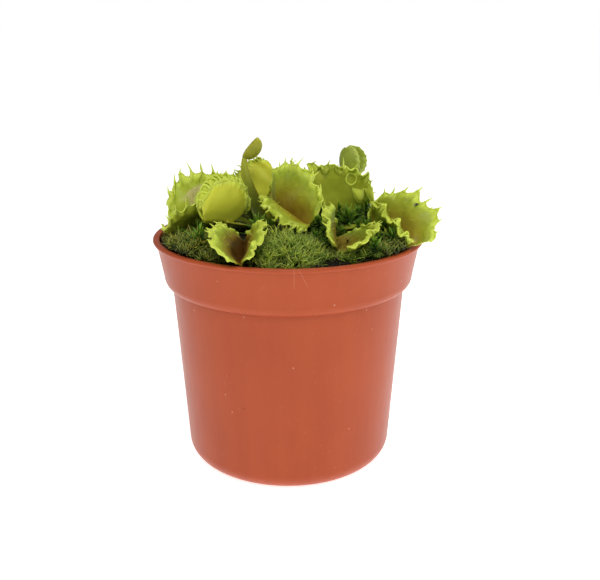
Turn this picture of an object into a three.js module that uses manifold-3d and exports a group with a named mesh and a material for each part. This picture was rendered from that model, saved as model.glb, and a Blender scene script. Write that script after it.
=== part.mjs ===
// A Venus flytrap in a small plastic plant pot.
// Millimetres. +Z is up, +X is to the right and +Y is away from the viewer.
// The pot stands on Z = 0 and its axis is the Z axis.
//
// The pot holds a plug of peat. A rhizome with a few roots sits in the middle of the peat,
// and the leaves rise from a ring around its top. Each leaf is one grown piece: a winged
// stalk, and a trap of two lobes that share a midrib and carry teeth along their margins.
// Cushions of moss and single shoots of star moss grow between the leaves.

import * as THREE from 'three';
import { mergeVertices } from 'three/addons/utils/BufferGeometryUtils.js';
import manifoldModule from 'manifold-3d';

const wasm = await manifoldModule();
wasm.setup();

// ---------------------------------------------------------------- driving dimensions

const CLEAR = 0.3;              // gap between pieces that touch

const POT_HEIGHT = 78.4;
const POT_WALL = 0.8;
const POT_FLOOR = 1.6;
const LIP_RADIUS = 45;
const LIP_HEIGHT = 1.3;
const COLLAR_TOP_RADIUS = 43.8;
const COLLAR_FOOT_RADIUS = 41.8;
const COLLAR_FOOT_Z = 66;
const BODY_TOP_RADIUS = 39.1;
const BODY_TOP_Z = 62.4;
const BASE_RADIUS = 34.95;
const BASE_ROUNDING = 6.8;
const POT_SIDES = 52;

const DRAIN_HOLES = 6;
const DRAIN_HOLE_RADIUS = 3;
const DRAIN_CIRCLE_RADIUS = 21;

const PEAT_EDGE_Z = 76.6;       // top of the peat at the pot wall
const PEAT_MOUND = 1.4;         // rise of the peat toward the middle
const PEAT_LUMP = 0.55;

const CROWN = new THREE.Vector3(0, 4, 72.5);   // middle of the ring that the leaves rise from
const CROWN_RADIUS = 6.6;
const CROWN_PIT_RADIUS = 9.6;
const CROWN_PIT_FLOOR_Z = 69.5;
const RHIZOME_RADIUS = 4.6;
const RHIZOME_HALF_HEIGHT = 3.4;
const ROOT_RADIUS = 0.9;
const ROOT_COUNT = 5;
const ROOT_DEPTH = 28;          // below the floor of the crown's pit

const TRAP_THICKNESS = 0.8;
const TRAP_COLUMNS = 9;         // teeth on each lobe
const TRAP_ROWS = 5;            // rows of faces from the midrib to a margin
const TRAP_END_ANGLE = 0.1;     // how near the lobes' ends come to the midrib's ends, in radians
const WAVE_TURNS = 22.8;        // of the ripple along a margin, in radians
const STALK_SECTIONS = 7;
const NECK_WIDTH = 2.2;         // of a stalk where it meets its trap
const LOBE_TAPER = 0.55;
const RIB_SAG = 0.06;

const MOSS_SEAT_Z = 75.4;       // flat underside of the moss cushions, sunk in the peat
const MOSS_EDGE_HEIGHT = 1.4;   // of a cushion's rim above its seat
const MOSS_RINGS = 4;
const MOSS_SECTORS = 12;

const STAR_SIDES = 5;
const STAR_TIERS = 3;           // rings of blades on a shoot of star moss
const STAR_TIER_HEIGHT = 1.3;
const STAR_STEM_RADIUS = 0.8;
const STAR_ROOT_DEPTH = 3;

// ---------------------------------------------------------------- colours

const COLOURS = {
  pot: { color: 0xb9573a, roughness: 0.42 },
  peat: { color: 0x1f1813, roughness: 0.95 },
  rhizome: { color: 0xd9cfae, roughness: 0.6 },
  leaf: { color: 0x93b52f, roughness: 0.45 },
  youngLeaf: { color: 0x7f9a3a, roughness: 0.5 },
  brightMoss: { color: 0x6f9a35, roughness: 0.85 },
  darkMoss: { color: 0x4d6327, roughness: 0.9 },
  starMoss: { color: 0x3c6b2c, roughness: 0.7 },
};

// ---------------------------------------------------------------- leaves
//
// start and end are the ends of the trap's midrib, start being where the stalk joins.
// mouth is the way the trap opens. reach is a lobe's size from midrib to margin.
// Each lobe leaves the mouth direction at `spread` degrees, turns by `bow` degrees more
// on its way to the margin, and by `curl` degrees in its last fifth. `splay` is how much
// wider it spreads at the midrib's end than at its start, and `shift` how far its margin
// slides along the midrib. The first lobe of a pair is the one on the right-hand side seen
// along the midrib with the mouth up. ring is the stalk's place around the crown, in
// degrees from +X, lead pulls a stalk that first runs outward, face is the way a stalk's
// upper side looks where that isn't the trap's mouth, and a wingPlace under 1 brings its
// widest place nearer to the crown. A higher taper rounds the lobes more toward their ends,
// and sag is how far the midrib bows away from the mouth, in parts of its length.

const LEAVES = [
  {
    name: 'leaf_far_left', start: [-22, 0.5, 83.5], end: [-37.8, -7.5, 80.2],
    mouth: [0.14, 0, 1], reach: [17.5, 14.5], halfLength: [11, 11], shift: [-3.5, 2],
    spread: [12, 30], splay: [0, 20], bow: [14, 18], curl: [10, -30],
    tooth: 4.2, frill: 0.9, ring: 198, seed: 3,
  },
  {
    name: 'leaf_left_closed', start: [-18.2, -13, 85.4], end: [-26.4, -18.8, 87.1],
    mouth: [0.2, 0.1, 1], reach: [14.8, 13.6], halfLength: [9.7, 7.8], shift: [-2.1, -1.5],
    spread: [27, 25], splay: [0, 0], bow: [-34, -38], curl: [0, 0],
    tooth: 1.5, frill: 0.2, sag: 0, ring: 222, seed: 5,
  },
  {
    name: 'leaf_front_left', start: [-13.4, -24, 80.6], end: [-13.9, -40.2, 79.1],
    mouth: [0, -0.1, 1], reach: [12, 11.2], halfLength: [11.2, 10.8], shift: [0.5, 0],
    spread: [44, 20], splay: [10, 10], bow: [5, 24], curl: [10, 20],
    tooth: 2.2, frill: 0.7, ring: 246, seed: 7,
  },
  {
    name: 'leaf_young_bean', start: [-14.9, 7.4, 103.6], end: [-10.5, 7, 109],
    mouth: [0.8, 0, -0.6], reach: [4, 4], halfLength: [3.8, 3.8], shift: [0, 0],
    spread: [62, 62], splay: [0, 0], bow: [-100, -100], curl: [0, 0],
    tooth: 0.4, frill: 0, taper: 0.8, ring: 174, lead: [-9, 7.6, 82], face: [0, -1, 0.2],
    neckWidth: 1.3, wingPlace: 0.5, seed: 11,
  },
  {
    name: 'leaf_back_left', start: [-9, 14, 86.4], end: [-5.4, 17.5, 93.2],
    mouth: [-1, -0.1, 0.5], reach: [12, 12], halfLength: [8.6, 8.6], shift: [0.6, 0.6],
    spread: [30, 30], splay: [0, 0], bow: [-40, -40], curl: [0, 0],
    tooth: 2.4, frill: 0.5, ring: 126, seed: 13,
  },
  {
    name: 'leaf_centre', start: [-3, -6.4, 88.4], end: [6.4, -19, 85.6],
    mouth: [0, 0, 1], reach: [11, 16.5], halfLength: [11, 13.2], shift: [0.5, -1.6],
    spread: [42, 0], splay: [35, 0], bow: [45, 10], curl: [20, 15],
    tooth: 2.8, frill: 0.9, ring: 280, seed: 17,
  },
  {
    name: 'leaf_back_right', start: [3.5, 5, 86.4], end: [23, 12, 83],
    mouth: [0, 0, 1], reach: [17.6, 12.8], halfLength: [14, 12], shift: [0.6, 0],
    spread: [8, 30], splay: [30, 20], bow: [10, 20], curl: [25, 20],
    tooth: 3.2, frill: 0.9, ring: 8, seed: 19,
  },
  {
    name: 'leaf_young_upright', start: [21.2, 24.2, 94.2], end: [20.8, 25.2, 102.8],
    mouth: [0.95, -0.2, 0.2], reach: [9.6, 7.4], halfLength: [5.6, 5.4], shift: [0, 0],
    spread: [55, 55], splay: [0, 0], bow: [-60, -75], curl: [0, 0],
    tooth: 0.7, frill: 0.2, taper: 0.8, sag: 0.22, ring: 36, stalkWidth: 3, neckWidth: 1.5, seed: 23,
  },
  {
    name: 'leaf_front_right', start: [14.8, -12, 79.8], end: [15, -28.5, 79.9],
    mouth: [0, 0, 1], reach: [12.4, 15], halfLength: [12.3, 12.5], shift: [0.3, 2.5],
    spread: [10, 94], splay: [30, -16], bow: [5, -66], curl: [15, 10],
    tooth: 2.2, frill: 0.8, ring: 312, seed: 29,
  },
  {
    name: 'leaf_right', start: [27.8, -8, 82.5], end: [37.4, -22, 79.6],
    mouth: [0, 0, 1], reach: [10.5, 15.4], halfLength: [10.5, 12], shift: [0, 2.2],
    spread: [6, 8], splay: [30, 50], bow: [30, 22], curl: [20, 20],
    tooth: 3.4, frill: 0.9, ring: 340, lead: [14, -4, 80], seed: 31,
  },
  {
    name: 'leaf_rear_right', start: [12, 27, 80.5], end: [19, 40.5, 81.5],
    mouth: [0, 0, 1], reach: [12, 12], halfLength: [10, 10], shift: [0, 0],
    spread: [40, 40], splay: [20, 20], bow: [20, 20], curl: [15, 15],
    tooth: 3, frill: 0.8, ring: 62, seed: 37,
  },
  {
    name: 'leaf_rear', start: [-5, 26, 83.5], end: [-8, 41, 84],
    mouth: [0, 0, 1], reach: [12, 12], halfLength: [10, 10], shift: [0, 0],
    spread: [36, 38], splay: [20, 20], bow: [25, 20], curl: [15, 15],
    tooth: 3, frill: 0.8, ring: 98, seed: 41,
  },
  {
    name: 'leaf_rear_left', start: [-24, 17, 80.5], end: [-37, 23, 81.5],
    mouth: [0, 0, 1], reach: [11.5, 11.5], halfLength: [9.5, 9.5], shift: [0, 0],
    spread: [42, 36], splay: [20, 20], bow: [20, 25], curl: [15, 15],
    tooth: 3, frill: 0.8, ring: 150, seed: 43,
  },
];

// ---------------------------------------------------------------- moss

const MOSS = [
  { name: 'moss_front', at: [0, -28], radii: [10, 12.5], top: 84.5, blade: 2.6,
    colour: 'brightMoss', seed: 51 },
  { name: 'moss_left', at: [-29, -22], radii: [9, 13], top: 81.2, blade: 2.2,
    colour: 'darkMoss', seed: 53 },
  { name: 'moss_right', at: [31.5, -24], radii: [7, 9], top: 80.5, blade: 2.2,
    colour: 'darkMoss', seed: 57 },
  { name: 'moss_rear_right', at: [32, 13], radii: [8, 14], top: 79.5, blade: 2.4,
    colour: 'brightMoss', seed: 59 },
  { name: 'moss_rear_left', at: [-21, 32], radii: [9, 7], top: 79.5, blade: 2.2,
    colour: 'darkMoss', seed: 61 },
  { name: 'moss_rear', at: [-1, 19], radii: [7, 5], top: 80, blade: 2.2,
    colour: 'brightMoss', seed: 63 },
];

const STAR_MOSS = [
  { name: 'star_moss_centre', at: [-5.2, -16.5], top: 85.5, spread: 6, seed: 71 },
  { name: 'star_moss_middle_right', at: [20, 0.9], top: 85, spread: 6, seed: 72 },
  { name: 'star_moss_right_upper', at: [30, -17.2], top: 86, spread: 5, seed: 73 },
  { name: 'star_moss_right_lower', at: [32, -23.6], top: 84.5, spread: 5, seed: 74 },
  { name: 'star_moss_front_right', at: [25.8, -31.4], top: 84, spread: 4.5, seed: 75 },
  { name: 'star_moss_left', at: [-27, -26], top: 85, spread: 5, seed: 76 },
  { name: 'star_moss_rear', at: [4, 38], top: 83, spread: 5, seed: 77 },
  { name: 'star_moss_rear_left', at: [-33, 8], top: 83, spread: 5, seed: 78 },
];

// ---------------------------------------------------------------- small helpers

const vec = (x, y, z) => new THREE.Vector3(x, y, z);
const radians = THREE.MathUtils.degToRad;

// A repeatable stream of numbers between 0 and 1.
function randomStream(seed) {
  let state = seed * 2654435761 >>> 0;
  return () => {
    state = (state + 0x6d2b79f5) >>> 0;
    let mixed = Math.imul(state ^ (state >>> 15), state | 1);
    mixed ^= mixed + Math.imul(mixed ^ (mixed >>> 7), mixed | 61);
    return ((mixed ^ (mixed >>> 14)) >>> 0) / 4294967296;
  };
}

function meshGeometry(points, faces) {
  const geometry = new THREE.BufferGeometry();
  const positions = points.flatMap((p) => [p.x, p.y, p.z]);
  geometry.setAttribute('position', new THREE.Float32BufferAttribute(positions, 3));
  geometry.setIndex(faces.flat());
  return geometry;
}

// Shared corners, and no face whose corners coincide.
function weld(geometry) {
  geometry.deleteAttribute('normal');
  geometry.deleteAttribute('uv');
  const merged = mergeVertices(geometry, 1e-4);
  const index = merged.getIndex().array;
  const kept = [];
  for (let i = 0; i < index.length; i += 3) {
    const [a, b, c] = [index[i], index[i + 1], index[i + 2]];
    if (a !== b && b !== c && c !== a) {
      kept.push(a, b, c);
    }
  }
  merged.setIndex(kept);
  return merged;
}

function toSolid(geometry) {
  const welded = weld(geometry);
  return new wasm.Manifold(new wasm.Mesh({
    numProp: 3,
    vertProperties: new Float32Array(welded.getAttribute('position').array),
    triVerts: new Uint32Array(welded.getIndex().array),
  }));
}

function toGeometry(solid) {
  const { vertProperties, triVerts } = solid.getMesh();
  const geometry = new THREE.BufferGeometry();
  geometry.setAttribute('position', new THREE.BufferAttribute(new Float32Array(vertProperties), 3));
  geometry.setIndex(new THREE.BufferAttribute(new Uint32Array(triVerts), 1));
  return geometry;
}

function largestBody(solid) {
  return solid.decompose().reduce((best, body) => (body.volume() > best.volume() ? body : best));
}

const overlaps = (one, other) => one.intersect(other).volume() > 1e-4;

// Closed rings of equal size joined in order, with a fan over each end.
function loft(rings) {
  const size = rings[0].length;
  const points = rings.flat();
  const faces = [];
  for (let i = 0; i + 1 < rings.length; i += 1) {
    for (let j = 0; j < size; j += 1) {
      const next = (j + 1) % size;
      const a = i * size + j;
      const b = i * size + next;
      faces.push([a, b, b + size], [a, b + size, a + size]);
    }
  }
  const last = (rings.length - 1) * size;
  for (let j = 1; j + 1 < size; j += 1) {
    faces.push([0, j + 1, j], [last, last + j, last + j + 1]);
  }
  return meshGeometry(points, faces);
}

// ---------------------------------------------------------------- pot

function potProfile() {
  const outer = [
    [BASE_RADIUS - BASE_ROUNDING, 0],
    [BASE_RADIUS - BASE_ROUNDING * 0.5, BASE_ROUNDING * 0.14],
    [BASE_RADIUS - BASE_ROUNDING * 0.15, BASE_ROUNDING * 0.46],
    [BASE_RADIUS + 0.35, BASE_ROUNDING],
    [BODY_TOP_RADIUS, BODY_TOP_Z],
    [BODY_TOP_RADIUS + 1.5, BODY_TOP_Z + 0.9],
    [COLLAR_FOOT_RADIUS, COLLAR_FOOT_Z],
    [COLLAR_TOP_RADIUS, POT_HEIGHT - LIP_HEIGHT - 0.3],
    [LIP_RADIUS - 0.3, POT_HEIGHT - LIP_HEIGHT],
    [LIP_RADIUS, POT_HEIGHT - LIP_HEIGHT * 0.5],
    [LIP_RADIUS - 0.4, POT_HEIGHT],
  ];
  const inner = [
    [COLLAR_TOP_RADIUS - POT_WALL, POT_HEIGHT - 0.4],
    [COLLAR_FOOT_RADIUS - POT_WALL, COLLAR_FOOT_Z + 0.5],
    [BODY_TOP_RADIUS - POT_WALL, BODY_TOP_Z + 0.4],
    [BASE_RADIUS + 0.35 - POT_WALL, BASE_ROUNDING],
    [BASE_RADIUS - BASE_ROUNDING * 0.5 - POT_WALL, POT_FLOOR + 0.6],
    [BASE_RADIUS - BASE_ROUNDING - POT_WALL, POT_FLOOR],
  ];
  return { outer, inner };
}

function revolve(profile, sides) {
  const points = profile.map(([radius, z]) => new THREE.Vector2(radius, z));
  const geometry = new THREE.LatheGeometry(points, sides);
  geometry.rotateX(Math.PI / 2);
  return geometry;
}

function buildPot() {
  const { outer, inner } = potProfile();
  const profile = [[0, 0], ...outer, ...inner, [0, POT_FLOOR]];
  let pot = toSolid(revolve(profile, POT_SIDES));
  for (let i = 0; i < DRAIN_HOLES; i += 1) {
    const angle = (i + 0.5) * 2 * Math.PI / DRAIN_HOLES;
    const drill = new THREE.CylinderGeometry(DRAIN_HOLE_RADIUS, DRAIN_HOLE_RADIUS, 3 * POT_FLOOR, 12);
    drill.rotateX(Math.PI / 2);
    drill.translate(
      DRAIN_CIRCLE_RADIUS * Math.cos(angle), DRAIN_CIRCLE_RADIUS * Math.sin(angle), POT_FLOOR / 2);
    pot = pot.subtract(toSolid(drill));
  }
  return pot;
}

// The pot's wall with some room inside it, up to the rim.
function potRoom() {
  const { inner } = potProfile();
  const wall = inner.slice(0, 4).map(([radius, z]) => [radius - CLEAR, z]);
  const outside = LIP_RADIUS + 20;
  const rim = POT_HEIGHT + CLEAR;
  const ring = [[wall[0][0], rim], ...wall, [outside, wall[3][1]], [outside, rim], [wall[0][0], rim]];
  return toSolid(revolve(ring, POT_SIDES));
}

// ---------------------------------------------------------------- peat and rhizome

function peatHeight(x, y) {
  const out = Math.hypot(x, y) / LIP_RADIUS;
  const lumps = Math.sin(x * 0.71 + 1.3) * Math.cos(y * 0.63 - 0.4)
    + 0.6 * Math.sin(x * 1.37 - y * 1.13);
  return PEAT_EDGE_Z + PEAT_MOUND * (1 - out * out) + PEAT_LUMP * lumps;
}

function buildPeat() {
  const { inner } = potProfile();
  const wall = inner.slice(1).reverse().map(([radius, z]) => [radius - CLEAR, z]);
  wall[0][1] += CLEAR;
  wall[1][1] += CLEAR;
  const collarSlope = (COLLAR_TOP_RADIUS - COLLAR_FOOT_RADIUS) / (POT_HEIGHT - COLLAR_FOOT_Z);
  const topRadius = COLLAR_FOOT_RADIUS - POT_WALL - CLEAR - 0.2
    + collarSlope * (PEAT_EDGE_Z - COLLAR_FOOT_Z);
  const rings = 7;
  const top = [];
  for (let i = 0; i < rings; i += 1) {
    top.push([topRadius * (1 - i / rings), PEAT_EDGE_Z]);
  }
  const profile = [[0, wall[0][1]], ...wall, ...top, [0, PEAT_EDGE_Z]];
  const geometry = revolve(profile, 36);
  const position = geometry.getAttribute('position');
  for (let i = 0; i < position.count; i += 1) {
    if (position.getZ(i) > PEAT_EDGE_Z - 1e-6) {
      position.setZ(i, peatHeight(position.getX(i), position.getY(i)));
    }
  }
  return toSolid(geometry);
}

function crownPit() {
  const depth = 20;
  const pit = new THREE.CylinderGeometry(CROWN_PIT_RADIUS, CROWN_PIT_RADIUS - 1.5, depth, 20);
  pit.rotateX(Math.PI / 2);
  pit.translate(CROWN.x, CROWN.y, CROWN_PIT_FLOOR_Z + depth / 2);
  return toSolid(pit);
}

// A rounded bulb that stands on the floor of the pit, with roots that run down into the peat.
function buildRhizome(growth) {
  const bulb = new THREE.SphereGeometry(1, 10, 6);
  bulb.rotateX(Math.PI / 2);
  const radius = RHIZOME_RADIUS + growth;
  bulb.scale(radius, radius, RHIZOME_HALF_HEIGHT + growth);
  bulb.translate(CROWN.x, CROWN.y, CROWN_PIT_FLOOR_Z + CLEAR + RHIZOME_HALF_HEIGHT);
  let rhizome = toSolid(bulb);
  for (let i = 0; i < ROOT_COUNT; i += 1) {
    const angle = i * 2 * Math.PI / ROOT_COUNT + 0.4;
    const out = vec(Math.cos(angle), Math.sin(angle), 0);
    const path = new THREE.CubicBezierCurve3(
      vec(CROWN.x, CROWN.y, CROWN_PIT_FLOOR_Z + 3).addScaledVector(out, 0.4 * RHIZOME_RADIUS),
      vec(CROWN.x, CROWN.y, CROWN_PIT_FLOOR_Z - 0.2 * ROOT_DEPTH).addScaledVector(out, 0.7 * RHIZOME_RADIUS),
      vec(CROWN.x, CROWN.y, CROWN_PIT_FLOOR_Z - 0.6 * ROOT_DEPTH).addScaledVector(out, 2 * RHIZOME_RADIUS),
      vec(CROWN.x, CROWN.y, CROWN_PIT_FLOOR_Z - ROOT_DEPTH - 3 * (i % 3) - growth)
        .addScaledVector(out, 2.2 * RHIZOME_RADIUS),
    );
    const rings = [];
    for (let k = 0; k <= 4; k += 1) {
      const centre = path.getPoint(k / 4);
      const thick = (ROOT_RADIUS + growth) * (1 - 0.35 * k / 4);
      rings.push([0, 1, 2, 3].map((j) => vec(
        centre.x + thick * Math.cos(j * Math.PI / 2),
        centre.y + thick * Math.sin(j * Math.PI / 2),
        centre.z,
      )));
    }
    rhizome = rhizome.add(toSolid(loft(rings.reverse())));
  }
  return rhizome;
}

// ---------------------------------------------------------------- traps

// Where a path ends that starts at angle `start`, turns by `bend` over its length, and is
// `length` long, measured along and across the direction of angle zero.
function arcEnd(start, bend, length) {
  if (Math.abs(bend) < 1e-4) {
    return [length * Math.cos(start), length * Math.sin(start)];
  }
  const scale = length / bend;
  return [
    scale * (Math.sin(start + bend) - Math.sin(start)),
    scale * (Math.cos(start) - Math.cos(start + bend)),
  ];
}

function trapFrame(leaf) {
  const start = vec(...leaf.start);
  const end = vec(...leaf.end);
  const along = end.clone().sub(start);
  const length = along.length();
  along.normalize();
  const mouth = vec(...leaf.mouth);
  mouth.addScaledVector(along, -mouth.dot(along)).normalize();
  const side = along.clone().cross(mouth);
  return { centre: start.add(end).multiplyScalar(0.5), along, mouth, side, length };
}

// A point of a lobe. around runs from 0 to 1 along the midrib, and out from 0 at the midrib
// to 1 at the margin.
function lobePoint(leaf, frame, lobe, around, out) {
  const angle = TRAP_END_ANGLE + around * (Math.PI - 2 * TRAP_END_ANGLE);
  const reach = leaf.reach[lobe] * Math.sin(angle) ** (leaf.taper ?? LOBE_TAPER);
  const spread = radians(leaf.spread[lobe] + leaf.splay[lobe] * (around - 0.5));
  const bow = radians(leaf.bow[lobe]);
  const inner = Math.min(out, 0.8);
  let [forward, across] = arcEnd(spread, bow * inner, reach * inner);
  if (out > 0.8) {
    const rest = out - 0.8;
    const turn = bow * rest + radians(leaf.curl[lobe]) * rest / 0.2;
    const [moreForward, moreAcross] = arcEnd(spread + bow * 0.8, turn, reach * rest);
    forward += moreForward;
    across += moreAcross;
  }
  const ribPlace = -Math.cos(angle) * frame.length / 2;
  const marginPlace = -Math.cos(angle) * leaf.halfLength[lobe] + leaf.shift[lobe];
  const place = ribPlace + (marginPlace - ribPlace) * Math.min(out, 1) ** 0.8;
  const sag = (leaf.sag ?? RIB_SAG) * frame.length * Math.sin(angle);
  return frame.centre.clone()
    .addScaledVector(frame.along, place)
    .addScaledVector(frame.mouth, forward - sag)
    .addScaledVector(frame.side, lobe === 0 ? across : -across);
}

// Both lobes as one sheet of points, from one margin over the midrib to the other.
function trapSheet(leaf) {
  const frame = trapFrame(leaf);
  const random = randomStream(leaf.seed);
  const waveStart = random() * 6;
  const points = [];
  const faces = [];
  const columns = TRAP_COLUMNS + 1;
  for (let row = -TRAP_ROWS; row <= TRAP_ROWS; row += 1) {
    const lobe = row > 0 ? 0 : 1;
    const out = Math.abs(row) / TRAP_ROWS;
    for (let column = 0; column < columns; column += 1) {
      const around = column / TRAP_COLUMNS;
      const point = lobePoint(leaf, frame, lobe, around, out);
      const wave = leaf.frill * Math.max(0, out - 0.5) * 2
        * Math.sin(waveStart + around * WAVE_TURNS + 4 * row / TRAP_ROWS);
      points.push(point.addScaledVector(frame.side, wave));
    }
  }
  const at = (row, column) => (row + TRAP_ROWS) * columns + column;
  for (let row = -TRAP_ROWS; row < TRAP_ROWS; row += 1) {
    for (let column = 0; column < TRAP_COLUMNS; column += 1) {
      const [a, b] = [at(row, column), at(row, column + 1)];
      const [c, d] = [at(row + 1, column + 1), at(row + 1, column)];
      if (points[a].distanceTo(points[c]) < points[b].distanceTo(points[d])) {
        faces.push([a, b, c], [a, c, d]);
      } else {
        faces.push([a, b, d], [b, c, d]);
      }
    }
  }
  for (const [lobe, row] of [[0, TRAP_ROWS], [1, -TRAP_ROWS]]) {
    for (let column = 0; column < TRAP_COLUMNS; column += 1) {
      const around = (column + 0.5) / TRAP_COLUMNS;
      const margin = lobePoint(leaf, frame, lobe, around, 1);
      const outward = margin.clone().sub(lobePoint(leaf, frame, lobe, around, 0.85)).normalize();
      const length = leaf.tooth * (0.75 + 0.5 * random()) * (0.55 + 0.45 * Math.sin(Math.PI * around));
      const lean = frame.along.clone().multiplyScalar(0.5 * (random() - 0.5));
      const tip = margin.addScaledVector(outward.add(lean), length);
      tip.addScaledVector(frame.side, leaf.frill * 1.2 * (random() - 0.5));
      points.push(tip);
      const first = at(row, column);
      const tooth = [first, first + 1, points.length - 1];
      faces.push(lobe === 0 ? tooth : [tooth[1], tooth[0], tooth[2]]);
    }
  }
  return { points, faces, frame };
}

// A sheet given a thickness: both faces have the same triangles.
function thicken(points, faces, thickness) {
  const normals = points.map(() => vec(0, 0, 0));
  const edges = new Map();
  for (const [a, b, c] of faces) {
    const normal = points[b].clone().sub(points[a]).cross(points[c].clone().sub(points[a]));
    [a, b, c].forEach((i) => normals[i].add(normal));
    for (const [from, to] of [[a, b], [b, c], [c, a]]) {
      edges.set(`${from} ${to}`, [from, to]);
    }
  }
  normals.forEach((normal) => normal.normalize());
  const front = points.map((p, i) => p.clone().addScaledVector(normals[i], thickness / 2));
  const back = points.map((p, i) => p.clone().addScaledVector(normals[i], -thickness / 2));
  const count = points.length;
  const solidFaces = [];
  for (const [a, b, c] of faces) {
    solidFaces.push([a, b, c], [c + count, b + count, a + count]);
  }
  for (const [from, to] of edges.values()) {
    if (!edges.has(`${to} ${from}`)) {
      solidFaces.push([to, from, from + count], [to, from + count, to + count]);
    }
  }
  return meshGeometry([...front, ...back], solidFaces);
}

// ---------------------------------------------------------------- leaf stalks

// The stalk climbs out of the crown pit, runs to the trap and narrows to a neck there.
// Its section is a thin pair of wings over a keel.
function stalk(leaf, frame, growth) {
  const ring = radians(leaf.ring);
  const foot = vec(
    CROWN.x + CROWN_RADIUS * Math.cos(ring), CROWN.y + CROWN_RADIUS * Math.sin(ring), CROWN.z);
  const neck = vec(...leaf.start);
  const run = Math.hypot(neck.x - foot.x, neck.y - foot.y);
  const path = new THREE.CubicBezierCurve3(
    foot,
    leaf.lead ? vec(...leaf.lead) : foot.clone().lerp(neck, 0.1).add(vec(0, 0, 5 + 0.1 * run)),
    neck.clone().addScaledVector(frame.along, -0.4 * run - 1).add(vec(0, 0, -0.1 * run)),
    neck.clone().addScaledVector(frame.along, 2.2),
  );
  const widest = leaf.stalkWidth ?? 5;
  const rings = [];
  for (let i = 0; i <= STALK_SECTIONS; i += 1) {
    const along = i / STALK_SECTIONS;
    const centre = path.getPoint(along);
    const tangent = path.getTangent(along);
    const up = (leaf.face ? vec(...leaf.face) : frame.mouth).clone().lerp(vec(0, 0, 1), 1 - along);
    up.addScaledVector(tangent, -up.dot(tangent)).normalize();
    const across = up.clone().cross(tangent);
    const winged = Math.min(1, Math.max(0, (along - 0.15) / 0.8)) ** (leaf.wingPlace ?? 1);
    const swell = Math.sin(Math.PI * winged) ** 1.2;
    const narrowest = leaf.neckWidth ?? NECK_WIDTH;
    const half = (narrowest + (widest - narrowest) * swell) / 2 + growth;
    const lift = 0.5 * swell;
    const wing = 0.32 + growth;
    const keel = 0.9 + growth;
    const section = [
      [half, lift + wing], [0, 0.5 + growth], [-half, lift + wing],
      [-half, lift - wing], [0, -keel], [half, lift - wing],
    ];
    rings.push(section.map(([x, z]) => centre.clone()
      .addScaledVector(across, x)
      .addScaledVector(up, z)));
  }
  return loft(rings);
}

// growth widens the leaf on every side, for the holes that it stands in.
function buildLeaf(leaf, growth = 0) {
  const { points, faces, frame } = trapSheet(leaf);
  const trap = toSolid(thicken(points, faces, TRAP_THICKNESS + 2 * growth));
  return trap.add(toSolid(stalk(leaf, frame, growth)));
}

// ---------------------------------------------------------------- moss

// A low dome whose faces each rise to a leaning point, like the blades of a moss cushion.
function buildCushion(moss) {
  const random = randomStream(moss.seed);
  const [rings, sectors] = [MOSS_RINGS, MOSS_SECTORS];
  const points = [];
  const [x, y] = moss.at;
  const summitZ = moss.top - moss.blade * 0.6;
  const edgeZ = MOSS_SEAT_Z + MOSS_EDGE_HEIGHT;
  for (let i = 0; i <= rings; i += 1) {
    const out = 1 - i / (rings + 0.5);
    for (let j = 0; j < sectors; j += 1) {
      const angle = (j + (i % 2) / 2) * 2 * Math.PI / sectors;
      const wobble = 1 + 0.12 * (random() - 0.5);
      points.push(vec(
        x + moss.radii[0] * out * wobble * Math.cos(angle),
        y + moss.radii[1] * out * wobble * Math.sin(angle),
        edgeZ + (summitZ - edgeZ) * (1 - out ** 2.2),
      ));
    }
  }
  const dome = [];
  for (let i = 0; i < rings; i += 1) {
    for (let j = 0; j < sectors; j += 1) {
      const next = (j + 1) % sectors;
      const [a, b] = [i * sectors + j, i * sectors + next];
      const [c, d] = [a + sectors, b + sectors];
      if (i % 2) {
        dome.push([a, b, d], [a, d, c]);
      } else {
        dome.push([a, b, c], [b, d, c]);
      }
    }
  }
  const faces = [];
  const last = rings * sectors;
  points.push(vec(x, y, summitZ));
  const summit = points.length - 1;
  for (let j = 0; j < sectors; j += 1) {
    dome.push([last + j, last + (j + 1) % sectors, summit]);
  }
  for (const [a, b, c] of dome) {
    const middle = points[a].clone().add(points[b]).add(points[c]).divideScalar(3);
    const normal = points[b].clone().sub(points[a]).cross(points[c].clone().sub(points[a]));
    const width = Math.sqrt(normal.length());
    normal.normalize().add(vec(random() - 0.5, random() - 0.5, 0.8 + random())).normalize();
    const length = Math.min(moss.blade, width) * (0.7 + 0.6 * random());
    points.push(middle.addScaledVector(normal, length));
    const tip = points.length - 1;
    faces.push([a, b, tip], [b, c, tip], [c, a, tip]);
  }
  const underside = points.length;
  for (let j = 0; j < sectors; j += 1) {
    points.push(vec(points[j].x, points[j].y, MOSS_SEAT_Z));
  }
  points.push(vec(x, y, MOSS_SEAT_Z));
  for (let j = 0; j < sectors; j += 1) {
    const next = (j + 1) % sectors;
    faces.push([underside + j, underside + next, next], [underside + j, next, j]);
    faces.push([underside + next, underside + j, points.length - 1]);
  }
  return toSolid(meshGeometry(points, faces));
}

// The hollow in the peat that a cushion is sunk in.
function cushionHollow(moss) {
  const depth = 12;
  const hollow = new THREE.CylinderGeometry(1.1, 1.1, depth, 20);
  hollow.rotateX(Math.PI / 2);
  hollow.scale(moss.radii[0], moss.radii[1], 1);
  hollow.translate(moss.at[0], moss.at[1], MOSS_SEAT_Z - CLEAR + depth / 2);
  return toSolid(hollow);
}

function starStem(star, growth) {
  const [x, y] = star.at;
  const foot = peatHeight(x, y) - STAR_ROOT_DEPTH - growth;
  const stem = new THREE.CylinderGeometry(
    STAR_STEM_RADIUS + growth, STAR_STEM_RADIUS + growth, star.top - 1 - foot, STAR_SIDES);
  stem.rotateX(Math.PI / 2);
  stem.translate(x, y, (foot + star.top - 1) / 2);
  return toSolid(stem);
}

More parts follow.
